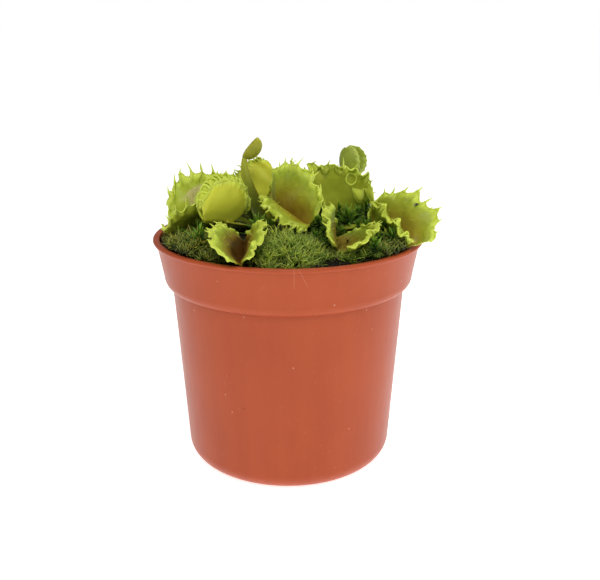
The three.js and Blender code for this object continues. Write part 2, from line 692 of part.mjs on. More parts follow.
// Whether a blade from one point to another, and a margin around it, meets an obstacle.
function bladeMeets(from, to, obstacles) {
  const across = to.clone().sub(from).cross(vec(0, 0, 1)).setLength(0.7);
  const corners = (centre) => [
    centre.clone().add(across),
    centre.clone().add(vec(0, 0, -0.9)),
    centre.clone().sub(across),
    centre.clone().add(vec(0, 0, 0.9)),
  ];
  const probe = toSolid(loft([corners(from), corners(to)]));
  return obstacles.some((obstacle) => overlaps(probe, obstacle));
}

// A stem whose upper faces are drawn out into blades that spread and rise toward the top.
// A blade that would meet an obstacle is drawn out less.
function buildStarMoss(star, obstacles) {
  const random = randomStream(star.seed);
  const [x, y] = star.at;
  const levels = [peatHeight(x, y) - STAR_ROOT_DEPTH];
  for (let i = 0; i <= STAR_TIERS; i += 1) {
    levels.push(star.top - STAR_TIERS * STAR_TIER_HEIGHT + i * STAR_TIER_HEIGHT);
  }
  const points = levels.flatMap((z, level) => Array.from({ length: STAR_SIDES }, (_, side) => {
    const angle = (side + level * 0.5) * 2 * Math.PI / STAR_SIDES;
    return vec(x + STAR_STEM_RADIUS * Math.cos(angle), y + STAR_STEM_RADIUS * Math.sin(angle), z);
  }));
  const faces = [];
  for (let level = 0; level + 1 < levels.length; level += 1) {
    for (let side = 0; side < STAR_SIDES; side += 1) {
      const next = (side + 1) % STAR_SIDES;
      const a = level * STAR_SIDES + side;
      const b = level * STAR_SIDES + next;
      const [c, d] = [b + STAR_SIDES, a + STAR_SIDES];
      if (level === 0) {
        faces.push([a, b, c], [a, c, d]);
        continue;
      }
      const middle = [a, b, c, d].reduce((sum, i) => sum.add(points[i]), vec(0, 0, 0)).divideScalar(4);
      const high = (level - 1) / (STAR_TIERS - 1);
      const pitch = 0.15 + 0.9 * high * high + 0.3 * random();
      const out = vec(middle.x - x, middle.y - y, 0).normalize().multiplyScalar(Math.cos(pitch));
      out.z = Math.sin(pitch);
      let length = star.spread * (0.8 + 0.4 * random());
      let tip = middle.clone().addScaledVector(out, length);
      while (length > 0.8 && bladeMeets(middle, tip, obstacles)) {
        length -= 0.6;
        tip = middle.clone().addScaledVector(out, length);
      }
      points.push(tip);
      const peak = points.length - 1;
      faces.push([a, b, peak], [b, c, peak], [c, d, peak], [d, a, peak]);
    }
  }
  const top = (levels.length - 1) * STAR_SIDES;
  for (let side = 1; side + 1 < STAR_SIDES; side += 1) {
    faces.push([0, side + 1, side], [top, top + side, top + side + 1]);
  }
  return toSolid(meshGeometry(points, faces));
}

// ---------------------------------------------------------------- assembly

const plant = new THREE.Group();

function addPiece(name, solid, colour) {
  const mesh = new THREE.Mesh(toGeometry(solid), new THREE.MeshStandardMaterial({
    ...COLOURS[colour],
    metalness: 0,
  }));
  mesh.name = name;
  plant.add(mesh);
}

const leaves = LEAVES.map((leaf) => buildLeaf(leaf));
const leafRoom = LEAVES.map((leaf) => buildLeaf(leaf, 1.5 * CLEAR));
const pot = buildPot();
const potWall = potRoom();

addPiece('pot', pot, 'pot');
addPiece('rhizome', buildRhizome(0), 'rhizome');
LEAVES.forEach((leaf, i) => {
  addPiece(leaf.name, leaves[i], leaf.name.includes('young') ? 'youngLeaf' : 'leaf');
});

const cushions = MOSS.map((moss) => {
  let cushion = buildCushion(moss).subtract(potWall);
  leafRoom.forEach((room) => {
    cushion = cushion.subtract(room);
  });
  STAR_MOSS.forEach((star) => {
    cushion = cushion.subtract(starStem(star, CLEAR));
  });
  return largestBody(cushion);
});
MOSS.forEach((moss, i) => addPiece(moss.name, cushions[i], moss.colour));

const starObstacles = [...leafRoom, ...cushions, potWall];
const stars = [];
STAR_MOSS.forEach((star) => {
  const shoot = buildStarMoss(star, [...starObstacles, ...stars]);
  stars.push(shoot);
  addPiece(star.name, shoot, 'starMoss');
});

let peat = buildPeat().subtract(crownPit()).subtract(buildRhizome(CLEAR));
MOSS.forEach((moss) => {
  peat = peat.subtract(cushionHollow(moss));
});
leafRoom.forEach((room) => {
  peat = peat.subtract(room);
});
STAR_MOSS.forEach((star) => {
  peat = peat.subtract(starStem(star, CLEAR));
});
addPiece('soil', largestBody(peat), 'peat');

export default plant;
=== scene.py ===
"""The looks of a Venus flytrap in a small plastic plant pot.

Shapes are worked out in millimetres and turned into metres when a piece is made.
+Z is up, +X is to the right and +Y is away from the viewer. The leaves follow the same
formulas and the same table as the solid model, with a finer mesh, and moss, peat crumbs,
hairs and colour are added around them.
"""

from math import cos, hypot, pi, radians, sin
from types import SimpleNamespace

import bpy
import numpy as np
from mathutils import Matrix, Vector
from mathutils.bvhtree import BVHTree


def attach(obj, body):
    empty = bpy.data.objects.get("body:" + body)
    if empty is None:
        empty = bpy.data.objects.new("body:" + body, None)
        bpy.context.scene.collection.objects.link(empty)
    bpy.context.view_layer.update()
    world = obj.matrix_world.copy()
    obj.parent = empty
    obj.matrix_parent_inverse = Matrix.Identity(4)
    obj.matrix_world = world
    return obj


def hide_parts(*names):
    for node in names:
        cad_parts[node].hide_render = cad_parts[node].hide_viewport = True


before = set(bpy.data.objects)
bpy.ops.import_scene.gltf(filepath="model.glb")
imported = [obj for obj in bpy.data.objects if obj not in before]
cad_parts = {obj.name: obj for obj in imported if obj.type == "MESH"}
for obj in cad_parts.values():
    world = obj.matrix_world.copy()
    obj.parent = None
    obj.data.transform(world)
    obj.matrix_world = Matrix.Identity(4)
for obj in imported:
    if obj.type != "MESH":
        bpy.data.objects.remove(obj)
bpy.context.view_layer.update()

MM = 0.001
UP = np.array([0.0, 0.0, 1.0])

# ---------------- driving dimensions

CAMERA_PLACE = (0.0, -282.55, 146.68)
CAMERA_PITCH = 17.362           # degrees below the horizon
CAMERA_TURN = -0.8              # degrees, below 0 to the right of +Y
CAMERA_LENS = 51.76
SENSOR_WIDTH = 36

POT_HEIGHT = 78.4
POT_WALL = 0.8
POT_FLOOR = 1.6
LIP_RADIUS = 45
LIP_HEIGHT = 1.3
COLLAR_TOP_RADIUS = 43.8
COLLAR_FOOT_RADIUS = 41.8
COLLAR_FOOT_Z = 66
BODY_TOP_RADIUS = 39.1
BODY_TOP_Z = 62.4
BASE_RADIUS = 34.95
BASE_ROUNDING = 6.8
POT_SEGMENTS = 192
SHARP_ANGLE = 38                # degrees, from which an edge of the pot looks sharp
SCRATCHES = [(1.6, 0.0), (8.5, 0.45)]       # place along X at the collar's foot, and lean
SCRATCH_FOOT = 5.5              # of the scratches, above the collar's foot
SCRATCH_WIDTH = 0.2

DRAIN_HOLES = 6
DRAIN_HOLE_RADIUS = 3
DRAIN_CIRCLE_RADIUS = 21

PEAT_EDGE_Z = 76.6
PEAT_MOUND = 1.4
PEAT_LUMP = 0.55
PEAT_RADIUS = 42.2              # of the visible top, at the pot's wall
CRUMBS = 3200
CRUMB_RADII = (0.2, 0.75)

CROWN = np.array([0.0, 4.0, 72.5])
CROWN_RADIUS = 6.6

TRAP_THICKNESS = 0.7
TEETH = 9                       # long teeth on each lobe
TRAP_END_ANGLE = 0.1
WAVE_TURNS = 22.8               # of the ripple along a margin, in radians
WEB_SHARE = 0.45                # of a tooth's length that the web between teeth climbs
STEPS_PER_TOOTH = 13
ROWS = 24                       # from the midrib to a margin
STALK_STEPS = 44
STALK_BLUSH = 0.45              # of a stalk's edges
# Strength of the painted shade on a stalk, which is full at the crown.
STALK_SHADE = 1.0               # at the crown
RIDGE_HEIGHT = 0.55             # along the midrib's outer face
BEAD_RADIUS = 0.3               # of the thick rim along an open trap's margin, a tongue's and a ring
TOOTH_RADIUS = 0.42             # of the thickest, at the root
TOOTH_TIP_RADIUS = 0.06
SMALL_TOOTH_RADIUS = 0.2
HAIR_LENGTH = 1.2               # of the trigger hairs
HAIR_RADIUS = 0.05
STALK_HALF_THICKNESS = 0.3
STALK_KEEL = 0.55
POD_HEIGHT = 0.85               # of a shut young trap, on its mouth's side, in parts of its reach
POD_BACK = 0.2
POD_WIDTH = 0.42
SEAM_DEPTH = 0.6                # of the flesh between the margins of a closed trap
SEAM_RIM_RADIUS = 0.38
CURL_LIFT = 0.35                # of what curls over a lobe, above its face
CURL_RING_RADIUS = 1.85
TONGUE_THICKNESS = 0.5

MOSS_SEAT_Z = 75.4
MOSS_EDGE_HEIGHT = 1.4
CARPET_SHOOTS = 2350
BARE_CROWN_RADIUS = 11          # without the low moss
BARE_PEAT = ((12, -38), 5.5)    # middle and radius, without the low moss
BARE_RIM = (38, 6, -8)          # no low moss farther out than this, right of this and before this
STAR_ROOT_DEPTH = 3
STAR_TIP = 1.4                  # from the last leaf's root to the top
STAR_TURN = 137.5               # degrees, from one leaf to the next
STAR_LEAVES = 46
LOW_STAR_LEAVES = 30
STAR_DISTANCE = 3.6             # between two shoots, at least
STAR_FREE = [(CROWN, 9), ((14, -34), 9)]        # middles and radii, without low star moss
STAR_TRIES = 700                # places tried for the low star moss

CRUMB_SEED = 5
CARPET_SEED = 91
WISP_SEED = 93
SCATTER_SEED = 97

FLOOR_HALF = 20                 # metres
FLOOR_GLOW = 0.82
SKY_FRONT = 0.1                 # strength of the light from the viewer's side
SKY_BACK = 0.25

LIGHT_AIM = (0, 0, 60)

# Name, place, size and power of each light.
LIGHTS = [
    ("key", (-40, -460, 620), (420, 420), 2.6),
    ("top", (80, 60, 700), (500, 500), 1.2),
    ("right", (640, -60, 240), (300, 600), 1.1),
]


def rows(base, *changes):
    """A table whose rows hold the base's values, apart from what each of them changes."""
    return [SimpleNamespace(**{**base, **change}) for change in changes]


# ---------------- leaves
#
# As in the solid model: start and end are the ends of the trap's midrib, and each pair
# holds the lobe on the right-hand side seen along the midrib first. blush is how far the
# inner face turns red toward the midrib, depth how far out from the midrib that reaches,
# yellow how much the whole leaf leans to yellow, shade how dark the painted shade on each
# lobe's outer face is, inner_shade how dark the painted shade on its inner face is,
# shade_reach how far out the painted shade stays full, stalk_light where along the stalk
# its painted shade begins to fade, and seam the number of teeth that cross between the
# margins of a closed trap.

LEAVES = rows(
    dict(mouth=(0, 0, 1), shift=(0, 0), splay=(0, 0), curl=(0, 0), sag=0.06, taper=0.55, frill=0.9,
         stalk_width=5, neck_width=2.2, wing_place=1, lead=None, face=None, seam=0,
         yellow=0.0, shade=(0, 0), inner_shade=(0, 0), shade_reach=0.45, stalk_light=0.35),
    dict(name="far_left", start=(-22, 0.5, 83.5), end=(-37.8, -7.5, 80.2), mouth=(0.14, 0, 1),
         reach=(17.5, 14.5), half_length=(11, 11), shift=(-3.5, 2), spread=(12, 30), splay=(0, 20),
         bow=(14, 18), curl=(10, -30), tooth=4.2, ring=198, seed=3,
         blush=0.3, depth=0.6, yellow=0.35, shade=(0, 0.45), stalk_light=0.9),
    dict(name="left_closed", start=(-18.2, -13, 85.4), end=(-26.4, -18.8, 87.1), mouth=(0.2, 0.1, 1),
         reach=(14.8, 13.6), half_length=(9.7, 7.8), shift=(-2.1, -1.5), spread=(27, 25),
         bow=(-34, -38), tooth=1.5, frill=0.2, sag=0, ring=222, seed=5,
         blush=0.1, depth=0.4, yellow=0.85, seam=15, stalk_light=0.6),
    dict(name="front_left", start=(-13.4, -24, 80.6), end=(-13.9, -40.2, 79.1), mouth=(0, -0.1, 1),
         reach=(12, 11.2), half_length=(11.2, 10.8), shift=(0.5, 0), spread=(44, 20), splay=(10, 10),
         bow=(5, 24), curl=(10, 20), tooth=2.2, frill=0.7, ring=246, seed=7,
         blush=1.5, depth=0.92, inner_shade=(0.55, 0.4), stalk_light=0.9),
    dict(name="young_bean", start=(-14.9, 7.4, 103.6), end=(-10.5, 7, 109), mouth=(0.8, 0, -0.6),
         reach=(4, 4), half_length=(3.8, 3.8), spread=(62, 62), bow=(-100, -100), tooth=0, frill=0,
         taper=0.8, ring=174, lead=(-9, 7.6, 82), face=(0, -1, 0.2), neck_width=1.3, wing_place=0.5,
         seed=11, blush=0.3, depth=0.5, yellow=0.6),
    dict(name="back_left", start=(-9, 14, 86.4), end=(-5.4, 17.5, 93.2), mouth=(-1, -0.1, 0.5),
         reach=(12, 12), half_length=(8.6, 8.6), shift=(0.6, 0.6), spread=(30, 30), bow=(-40, -40),
         tooth=2.4, frill=0.5, ring=126, seed=13, blush=0.3, depth=0.5, yellow=1.0),
    dict(name="centre", start=(-3, -6.4, 88.4), end=(6.4, -19, 85.6),
         reach=(11, 16.5), half_length=(11, 13.2), shift=(0.5, -1.6), spread=(42, 0), splay=(35, 0),
         bow=(45, 10), curl=(20, 15), tooth=2.8, ring=280, seed=17, blush=0.64, depth=0.95, yellow=0.1),
    dict(name="back_right", start=(3.5, 5, 86.4), end=(23, 12, 83),
         reach=(17.6, 12.8), half_length=(14, 12), shift=(0.6, 0), spread=(8, 30), splay=(30, 20),
         bow=(10, 20), curl=(25, 20), tooth=3.2, ring=8, seed=19,
         blush=0.15, depth=0.7, yellow=0.45, shade=(0.15, 0)),
    dict(name="young_upright", start=(21.2, 24.2, 94.2), end=(20.8, 25.2, 102.8), mouth=(0.95, -0.2, 0.2),
         reach=(9.6, 7.4), half_length=(5.6, 5.4), spread=(55, 55), bow=(-60, -75), tooth=0.7, frill=0.1,
         taper=0.8, sag=0.22, ring=36, stalk_width=3, neck_width=1.5, seed=23, blush=0.0, depth=0.4),
    dict(name="front_right", start=(14.8, -12, 79.8), end=(15, -28.5, 79.9),
         reach=(12.4, 15), half_length=(12.3, 12.5), shift=(0.3, 2.5), spread=(10, 94), splay=(30, -16),
         bow=(5, -66), curl=(15, 10), tooth=2.2, frill=0.8, ring=312, seed=29,
         blush=0.85, depth=0.9, shade=(0.6, 0), inner_shade=(0.15, 0.6), shade_reach=0.6),
    dict(name="right", start=(27.8, -8, 82.5), end=(37.4, -22, 79.6),
         reach=(10.5, 15.4), half_length=(10.5, 12), shift=(0, 2.2), spread=(6, 8), splay=(30, 50),
         bow=(30, 22), curl=(20, 20), tooth=3.4, ring=340, lead=(14, -4, 80), seed=31,
         blush=0.6, depth=1.1, inner_shade=(0, 0.12)),
    dict(name="rear_right", start=(12, 27, 80.5), end=(19, 40.5, 81.5),
         reach=(12, 12), half_length=(10, 10), spread=(40, 40), splay=(20, 20), bow=(20, 20),
         curl=(15, 15), tooth=3, frill=0.8, ring=62, seed=37, blush=0.8, depth=0.7, yellow=0.1),
    dict(name="rear", start=(-5, 26, 83.5), end=(-8, 41, 84),
         reach=(12, 12), half_length=(10, 10), spread=(36, 38), splay=(20, 20), bow=(25, 20),
         curl=(15, 15), tooth=3, frill=0.8, ring=98, seed=41, blush=0.6, depth=0.6, yellow=0.2),
    dict(name="rear_left", start=(-24, 17, 80.5), end=(-37, 23, 81.5),
         reach=(11.5, 11.5), half_length=(9.5, 9.5), spread=(42, 36), splay=(20, 20), bow=(20, 25),
         curl=(15, 15), tooth=3, frill=0.8, ring=150, seed=43, blush=0.9, depth=0.6),
)

# Tongues of the back right trap's margin that curl over its front lobe: one end, the lowest
# point and the other end of each, as places around and out on the lobe.
FLAPS = [
    ((0.67, 0.63), (0.83, 0.39), (0.785, 0.75)),
    ((0.795, 0.79), (0.995, 1.22), (0.82, 0.98)),
    ((0.335, 0.99), (0.38, 0.83), (0.39, 0.98)),
    ((0.455, 0.97), (0.5, 0.84), (0.515, 0.97)),
]
RING_PLACE = (0.62, 0.79)

# ---------------- moss

MOSS = rows(
    dict(blade=2.2, slot="dark_moss", tone=0),
    dict(name="front", at=(0, -28), radii=(10, 12.5), top=84.5, blade=2.6, slot="bright_moss",
         shoots=430, seed=51),
    dict(name="left", at=(-29, -22), radii=(9, 13), top=81.2, shoots=340, tone=-0.9, seed=53),
    dict(name="right", at=(31.5, -24), radii=(7, 9), top=80.5, shoots=300, tone=-1.2, seed=57),
    dict(name="rear_right", at=(32, 13), radii=(8, 14), top=79.5, blade=2.4, slot="bright_moss",
         shoots=560, seed=59),
    dict(name="rear_left", at=(-21, 32), radii=(9, 7), top=79.5, shoots=380, seed=61),
    dict(name="rear", at=(-1, 19), radii=(7, 5), top=80, slot="bright_moss", shoots=240, seed=63),
)

# What the shoots of a cushion are like: how deep they stand in it, the shortest and the tallest,
# how long a blade is in parts of the cushion's blade, and how much the lumps change the tone,
# as painted shade that darkens the shoots low between the lumps and lightens those on top.
SHOOTS = {
    "bright_moss": SimpleNamespace(sunk=2.0, height=(0.6, 2.2), stretch=1.55, blades=8, thickness=0.27,
                                   opening=64, tone=1.0),
    "dark_moss": SimpleNamespace(sunk=1.2, height=(0.8, 2.6), stretch=1.6, blades=9, thickness=0.4,
                                 opening=66, tone=1.5),
}

# Name, place, top and spread of each star moss shoot of the solid model.
STAR_MOSS = [
    ("centre", (-5.2, -16.5), 85.5, 6),
    ("middle_right", (20, 0.9), 85, 6),
    ("right_upper", (30, -17.2), 86, 5),
    ("right_lower", (32, -23.6), 84.5, 5),
    ("front_right", (25.8, -31.4), 84, 4.5),
    ("left", (-27, -26), 85.5, 6),
    ("rear", (4, 38), 83, 5),
    ("rear_left", (-33, 8), 83, 5),
]
STAR_SEED = 71                  # of the first one
TALL_STARS = [(27, 10, 87.5), (30, 6.5, 85.5), (24.5, 29.5, 85), (-9.6, -21, 88)]     # between leaves

# Middle, radius, count and height of each group of long strands.
WISPS = [((17, -29), 7, 90, 2), ((24, -25), 6, 50, 2), ((-4, -16), 4, 30, 2), ((26, 25), 4.5, 150, 7)]
HOLLOWS = [((-15, -14), 6), ((-14.5, -4), 6)]       # bare peat in deep shade behind a trap


# ---------------- meshes

class Shape:
    """Points and faces gathered for one mesh, with named numbers for each point."""

    def __init__(self):
        self.points = []
        self.faces = []
        self.values = {}
        self.count = 0

    def add(self, points, groups, **values):
        """Adds points and groups of faces whose corners are counted from the first of them."""
        points = np.asarray(points, dtype=float).reshape(-1, 3)
        self.points.append(points)
        self.faces += [np.asarray(faces, dtype=int) + self.count for faces in groups]
        for name, value in values.items():
            spread = np.broadcast_to(np.ravel(value), (len(points),))
            self.values.setdefault(name, []).append((self.count, spread))
        self.count += len(points)

    def mesh(self, name):
        mesh = bpy.data.meshes.new(name)
        mesh.from_pydata(np.concatenate(self.points) * MM, [],
                         [face for faces in self.faces for face in faces.tolist()])
        mesh.shade_smooth()
        for key, stretches in self.values.items():
            numbers = np.zeros(self.count)
            for first, spread in stretches:
                numbers[first:first + len(spread)] = spread
            mesh.attributes.new(key, "FLOAT", "POINT").data.foreach_set("value", numbers)
        return mesh

    def piece(self, name, material, slot, nodes=()):
        """Makes the object, which rides with the part and stands for the given nodes."""
        made = bpy.data.objects.new(name, self.mesh(name))
        bpy.context.scene.collection.objects.link(made)
        made.data.materials.append(material)
        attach(made, "root")
        if nodes:
            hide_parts(*nodes)
        return made


def unit(vectors):
    vectors = np.asarray(vectors, dtype=float)
    return vectors / np.maximum(np.linalg.norm(vectors, axis=-1, keepdims=True), 1e-9)


def smooth(value, low, high):
    """0 up to low, 1 from high on, with a soft start and end between them."""
    t = np.clip((value - low) / (high - low), 0, 1)
    return t * t * (3 - 2 * t)


def circle(count):
    """Points around a circle of radius 1 at height 0."""
    turn = np.arange(count) * 2 * pi / count
    return np.stack([np.cos(turn), np.sin(turn), 0 * turn], axis=-1)


def grid_faces(lines, columns, closed=False):
    """Faces between lines of points. Closed lines join their last point to their first."""
    line, column = np.mgrid[:lines - 1, :columns if closed else columns - 1]
    after = (column + 1) % columns
    low = line * columns
    high = low + columns
    return np.stack([low + column, low + after, high + after, high + column], axis=-1).reshape(-1, 4)


def fan_faces(first, size, centre, flip=False):
    ring = np.arange(size) + first
    after = np.roll(ring, -1)
    sides = (after, ring) if flip else (ring, after)
    return np.stack([*sides, np.full(size, centre)], axis=-1)


def tube(shape, rings, **values):
    """Rings of points, joined and closed at both ends."""
    rings = np.asarray(rings)
    count, size = rings.shape[:2]
    total = count * size
    spread = {}
    for name, value in values.items():
        each = np.asarray(value, dtype=float)
        each = np.broadcast_to(each if each.ndim == 2 else each.reshape(-1, 1), (count, size))
        spread[name] = np.concatenate([each.ravel(), each[:1, 0], each[-1:, 0]])
    points = np.concatenate([rings.reshape(-1, 3), rings[:1].mean(axis=1), rings[-1:].mean(axis=1)])
    ends = np.concatenate([
        fan_faces(0, size, total, flip=True), fan_faces(total - size, size, total + 1)])
    shape.add(points, [grid_faces(count, size, closed=True), ends], **spread)


def bezier(points, t):
    a, b, c, d = (np.asarray(p, dtype=float) for p in points)
    t = np.asarray(t)[:, None]
    return (1 - t) ** 3 * a + 3 * (1 - t) ** 2 * t * b + 3 * (1 - t) * t ** 2 * c + t ** 3 * d


def add_rod(shape, path, radius, **values):
    """A round rod along a path, with a radius for each of its points."""
    path = np.asarray(path)
    direction = unit(np.gradient(path, axis=0))
    across = unit(np.cross(direction, (0.31, 0.52, 0.79)))
    over = np.cross(direction, across)
    around = circle(7)
    radius = np.broadcast_to(radius, (len(path),))[:, None, None]
    rings = path[:, None] + radius * (across[:, None] * around[:, :1] + over[:, None] * around[:, 1:2])
    tube(shape, rings[:, ::-1], **values)


def needles(shape, root, direction, length, bend, across, wide, thin, sides, steps, swell=0.0, **values):
    """Many tapering blades at once, each from its root to a pointed tip.

    bend is added at the tip, in parts of the length. swell is where along the blade it is
    widest, and 0 gives a plain taper."""
    count = len(root)
    direction = unit(direction)
    across = unit(across - direction * np.sum(across * direction, axis=1, keepdims=True))
    over = np.cross(direction, across)
    around = circle(sides)
    along = np.arange(steps) / steps
    rings = []
    for t in along:
        width = 1 - t ** 1.5
        if swell:
            width *= min(1.0, 0.45 + 0.55 * t / swell)
        centre = root + (direction * t + bend * t * t) * length[:, None]
        rings.append(centre[:, None] + across[:, None] * np.outer(wide * width, around[:, 0])[..., None]
                     + over[:, None] * np.outer(thin * width, around[:, 1])[..., None])
    tip = root + (direction + bend) * length[:, None]
    points = np.concatenate([*rings, tip[:, None]], axis=1)
    each = steps * sides + 1
    ends = np.concatenate([fan_faces((steps - 1) * sides, sides, each - 1),
                           [(0, j + 1, j) for j in range(1, sides - 1)]])
    first = (np.arange(count) * each)[:, None, None]
    groups = [(faces + first).reshape(-1, faces.shape[1])
              for faces in (grid_faces(steps, sides, closed=True), ends)]
    spread = {name: np.repeat(np.broadcast_to(value, (count,)), each) for name, value in values.items()}
    shape.add(points, groups, along=np.tile(np.append(np.repeat(along, sides), 1.0), count), **spread)


# ---------------- materials

def connect(tree, value, socket):
    """Links an output to the socket, or sets the socket to a number or colour."""
    if hasattr(value, "is_linked"):
        tree.links.new(value, socket)
    else:
        socket.default_value = value


def add_node(tree, kind, inputs={}, **settings):
    """A new node with these settings, and with its inputs linked or set."""
    node = tree.nodes.new("ShaderNode" + kind)
    for name, value in settings.items():
        setattr(node, name, value)
    for name, value in inputs.items():
        connect(tree, value, node.inputs[name])
    return node


class Paint:
    """A material made of nodes around one Principled surface."""

    def __init__(self, name, roughness, specular=0.5):
        self.material = bpy.data.materials.new(name)
        self.material.use_nodes = True
        self.tree = self.material.node_tree
        self.place = self.node("TexCoord").outputs["Object"]
        self.give("Roughness", roughness)
        self.give("Specular IOR Level", specular)

    def node(self, kind, inputs={}, **settings):
        return add_node(self.tree, kind, inputs, **settings)

    def give(self, name, value):
        """Links or sets an input of the surface."""
        connect(self.tree, value, self.tree.nodes["Principled BSDF"].inputs[name])

    def axis(self, index):
        return self.node("SeparateXYZ", {"Vector": self.place}).outputs[index]

    def stretched(self, stretch):
        return self.node("Mapping", {"Vector": self.place, "Scale": stretch}).outputs["Vector"]

    def noise(self, size, detail=3.0, stretch=(1, 1, 1)):
        """Noise whose lumps are about `size` millimetres."""
        inputs = {"Vector": self.stretched(stretch), "Scale": 1 / (size * MM), "Detail": detail}
        return self.node("TexNoise", inputs).outputs["Fac"]

    def cells(self, size, stretch=(1, 1, 1)):
        """Distance from the middles of random cells about `size` millimetres wide."""
        inputs = {"Vector": self.stretched(stretch), "Scale": 1 / (size * MM)}
        return self.node("TexVoronoi", inputs).outputs["Distance"]

    def attribute(self, name):
        return self.node("Attribute", attribute_name=name).outputs["Fac"]

    def ramp(self, value, *stops):
        node = self.node("ValToRGB", {"Fac": value})
        elements = node.color_ramp.elements
        while len(elements) < len(stops):
            elements.new(0.5)
        for element, (position, colour) in zip(elements, stops):
            element.position = position
            element.color = (*colour, 1)
        return node.outputs["Color"]

    def window(self, value, low, high):
        """0 up to low, 1 from high on."""
        inputs = {"Value": value, "From Min": low, "From Max": high}
        return self.node("MapRange", inputs).outputs["Result"]

    def math(self, operation, first, second=0.0):
        return self.node("Math", {0: first, 1: second}, operation=operation).outputs["Value"]

    def times(self, first, second):
        return self.math("MULTIPLY", first, second)

    def plus(self, first, second):
        return self.math("ADD", first, second)

    def mix(self, factor, first, second, blend="MIX"):
        first, second = (value if hasattr(value, "is_linked") else (*value, 1) for value in (first, second))
        inputs = {0: factor, 6: first, 7: second}
        return self.node("Mix", inputs, data_type="RGBA", blend_type=blend).outputs[2]

    def bump(self, height, depth):
        """Relief `depth` millimetres deep."""
        self.give("Normal", self.node("Bump", {"Height": height, "Distance": depth * MM}).outputs["Normal"])

    def soft(self, weight, reach):
        """Light that enters the surface and comes out up to `reach` millimetres away."""
        self.give("Subsurface Weight", weight)
        self.give("Subsurface Scale", reach * MM)
        self.give("Subsurface Radius", (0.9, 1.0, 0.3))


def leaf_material(name, green, olive, pale):
    """Flesh that turns red toward the midrib, with a pale rim, dry patches, painted shade and a painted
    shadow spot.
    """
    paint = Paint(name, 0.4, 0.25)
    blush = paint.attribute("blush")
    mottle = paint.window(paint.noise(2.2, 4), 0.35, 0.68)
    stained = paint.times(blush, paint.plus(0.85, paint.times(mottle, 0.3)))
    flesh = paint.ramp(stained, (0.0, green), (0.28, olive), (0.52, (0.34, 0.24, 0.028)),
                       (0.76, (0.29, 0.145, 0.018)), (1.0, (0.135, 0.05, 0.004)))
    flesh = paint.mix(mottle, flesh, (0.78, 0.84, 0.7), "MULTIPLY")
    flesh = paint.mix(paint.attribute("yellow"), flesh, (0.66, 0.67, 0.05))
    # Painted shade: the flesh is multiplied toward a dark green where the shade number is high.
    shade = paint.mix(paint.attribute("shade"), (1, 1, 1), (0.14, 0.17, 0.05))
    flesh = paint.mix(1.0, flesh, shade, "MULTIPLY")
    rim = paint.plus(paint.attribute("edge"), paint.times(paint.plus(paint.noise(1.3, 3), -0.5), 0.6))
    body = paint.mix(paint.times(paint.window(rim, 0.25, 0.95), 0.85), flesh, pale)
    stipple = paint.times(paint.window(paint.cells(0.34), 0.12, 0.4), paint.window(blush, 0.05, 0.5))
    stipple = paint.times(stipple, paint.window(blush, 1.1, 0.7))
    body = paint.mix(paint.times(stipple, 0.22), body, (0.42, 0.33, 0.02))
    dry = paint.plus(paint.attribute("dry"), paint.times(paint.noise(1.6, 4), 0.9))
    speckle = paint.ramp(paint.noise(0.55, 3), (0.3, (0.46, 0.40, 0.12)), (0.55, (0.66, 0.60, 0.26)),
                         (0.8, (0.40, 0.35, 0.07)))
    body = paint.mix(paint.window(dry, 0.92, 1.08), body, speckle)
    # A very dark painted shadow on the spot that leaf_values marks.
    body = paint.mix(paint.attribute("black"), body, (0.012, 0.010, 0.006))
    paint.give("Base Color", body)
    paint.give("Roughness", paint.plus(paint.times(paint.noise(1.4, 2), 0.24), 0.24))
    paint.bump(paint.plus(paint.times(paint.noise(0.5, 3), 0.5), paint.noise(1.8, 2)), 0.14)
    paint.soft(0.2, 0.9)
    return paint.material


def blade_material(name, root, middle, tip, roughness=0.6, specular=0.3):
    """Blades that are darker toward their roots, partly their own colour and partly painted shade deep in
    the moss, each with its own tint.
    """
    paint = Paint(name, roughness, specular)
    body = paint.ramp(paint.attribute("along"), (0.0, root), (0.5, middle), (1.0, tip))
    tint = paint.attribute("tint")
    body = paint.mix(paint.window(tint, 0.55, 1.0), body, (1.7, 1.35, 0.9), "MULTIPLY")
    body = paint.mix(paint.window(tint, 0.4, 0.0), body, (0.35, 0.45, 0.35), "MULTIPLY")
    body = paint.mix(paint.window(paint.noise(7, 2), 0.6, 0.75), body, (0.9, 0.68, 0.5), "MULTIPLY")
    paint.give("Base Color", body)
    paint.bump(paint.noise(0.3, 2), 0.03)
    paint.soft(0.15, 0.5)
    return paint.material


def scratch(paint, place, lean):
    """A hairline down the front of the collar, at x = place - lean * (z - COLLAR_FOOT_Z)."""
    slanted = paint.plus(paint.axis(0), paint.times(paint.axis(2), lean))
    off = paint.math("ABSOLUTE", paint.plus(slanted, -(place + lean * COLLAR_FOOT_Z) * MM))
    foot = (COLLAR_FOOT_Z + SCRATCH_FOOT) * MM
    mark = paint.times(paint.window(off, 0.7 * SCRATCH_WIDTH * MM, 0.3 * SCRATCH_WIDTH * MM),
                       paint.window(paint.axis(2), foot, foot + 2 * MM))
    return paint.times(mark, paint.window(paint.axis(1), 0, -0.01))


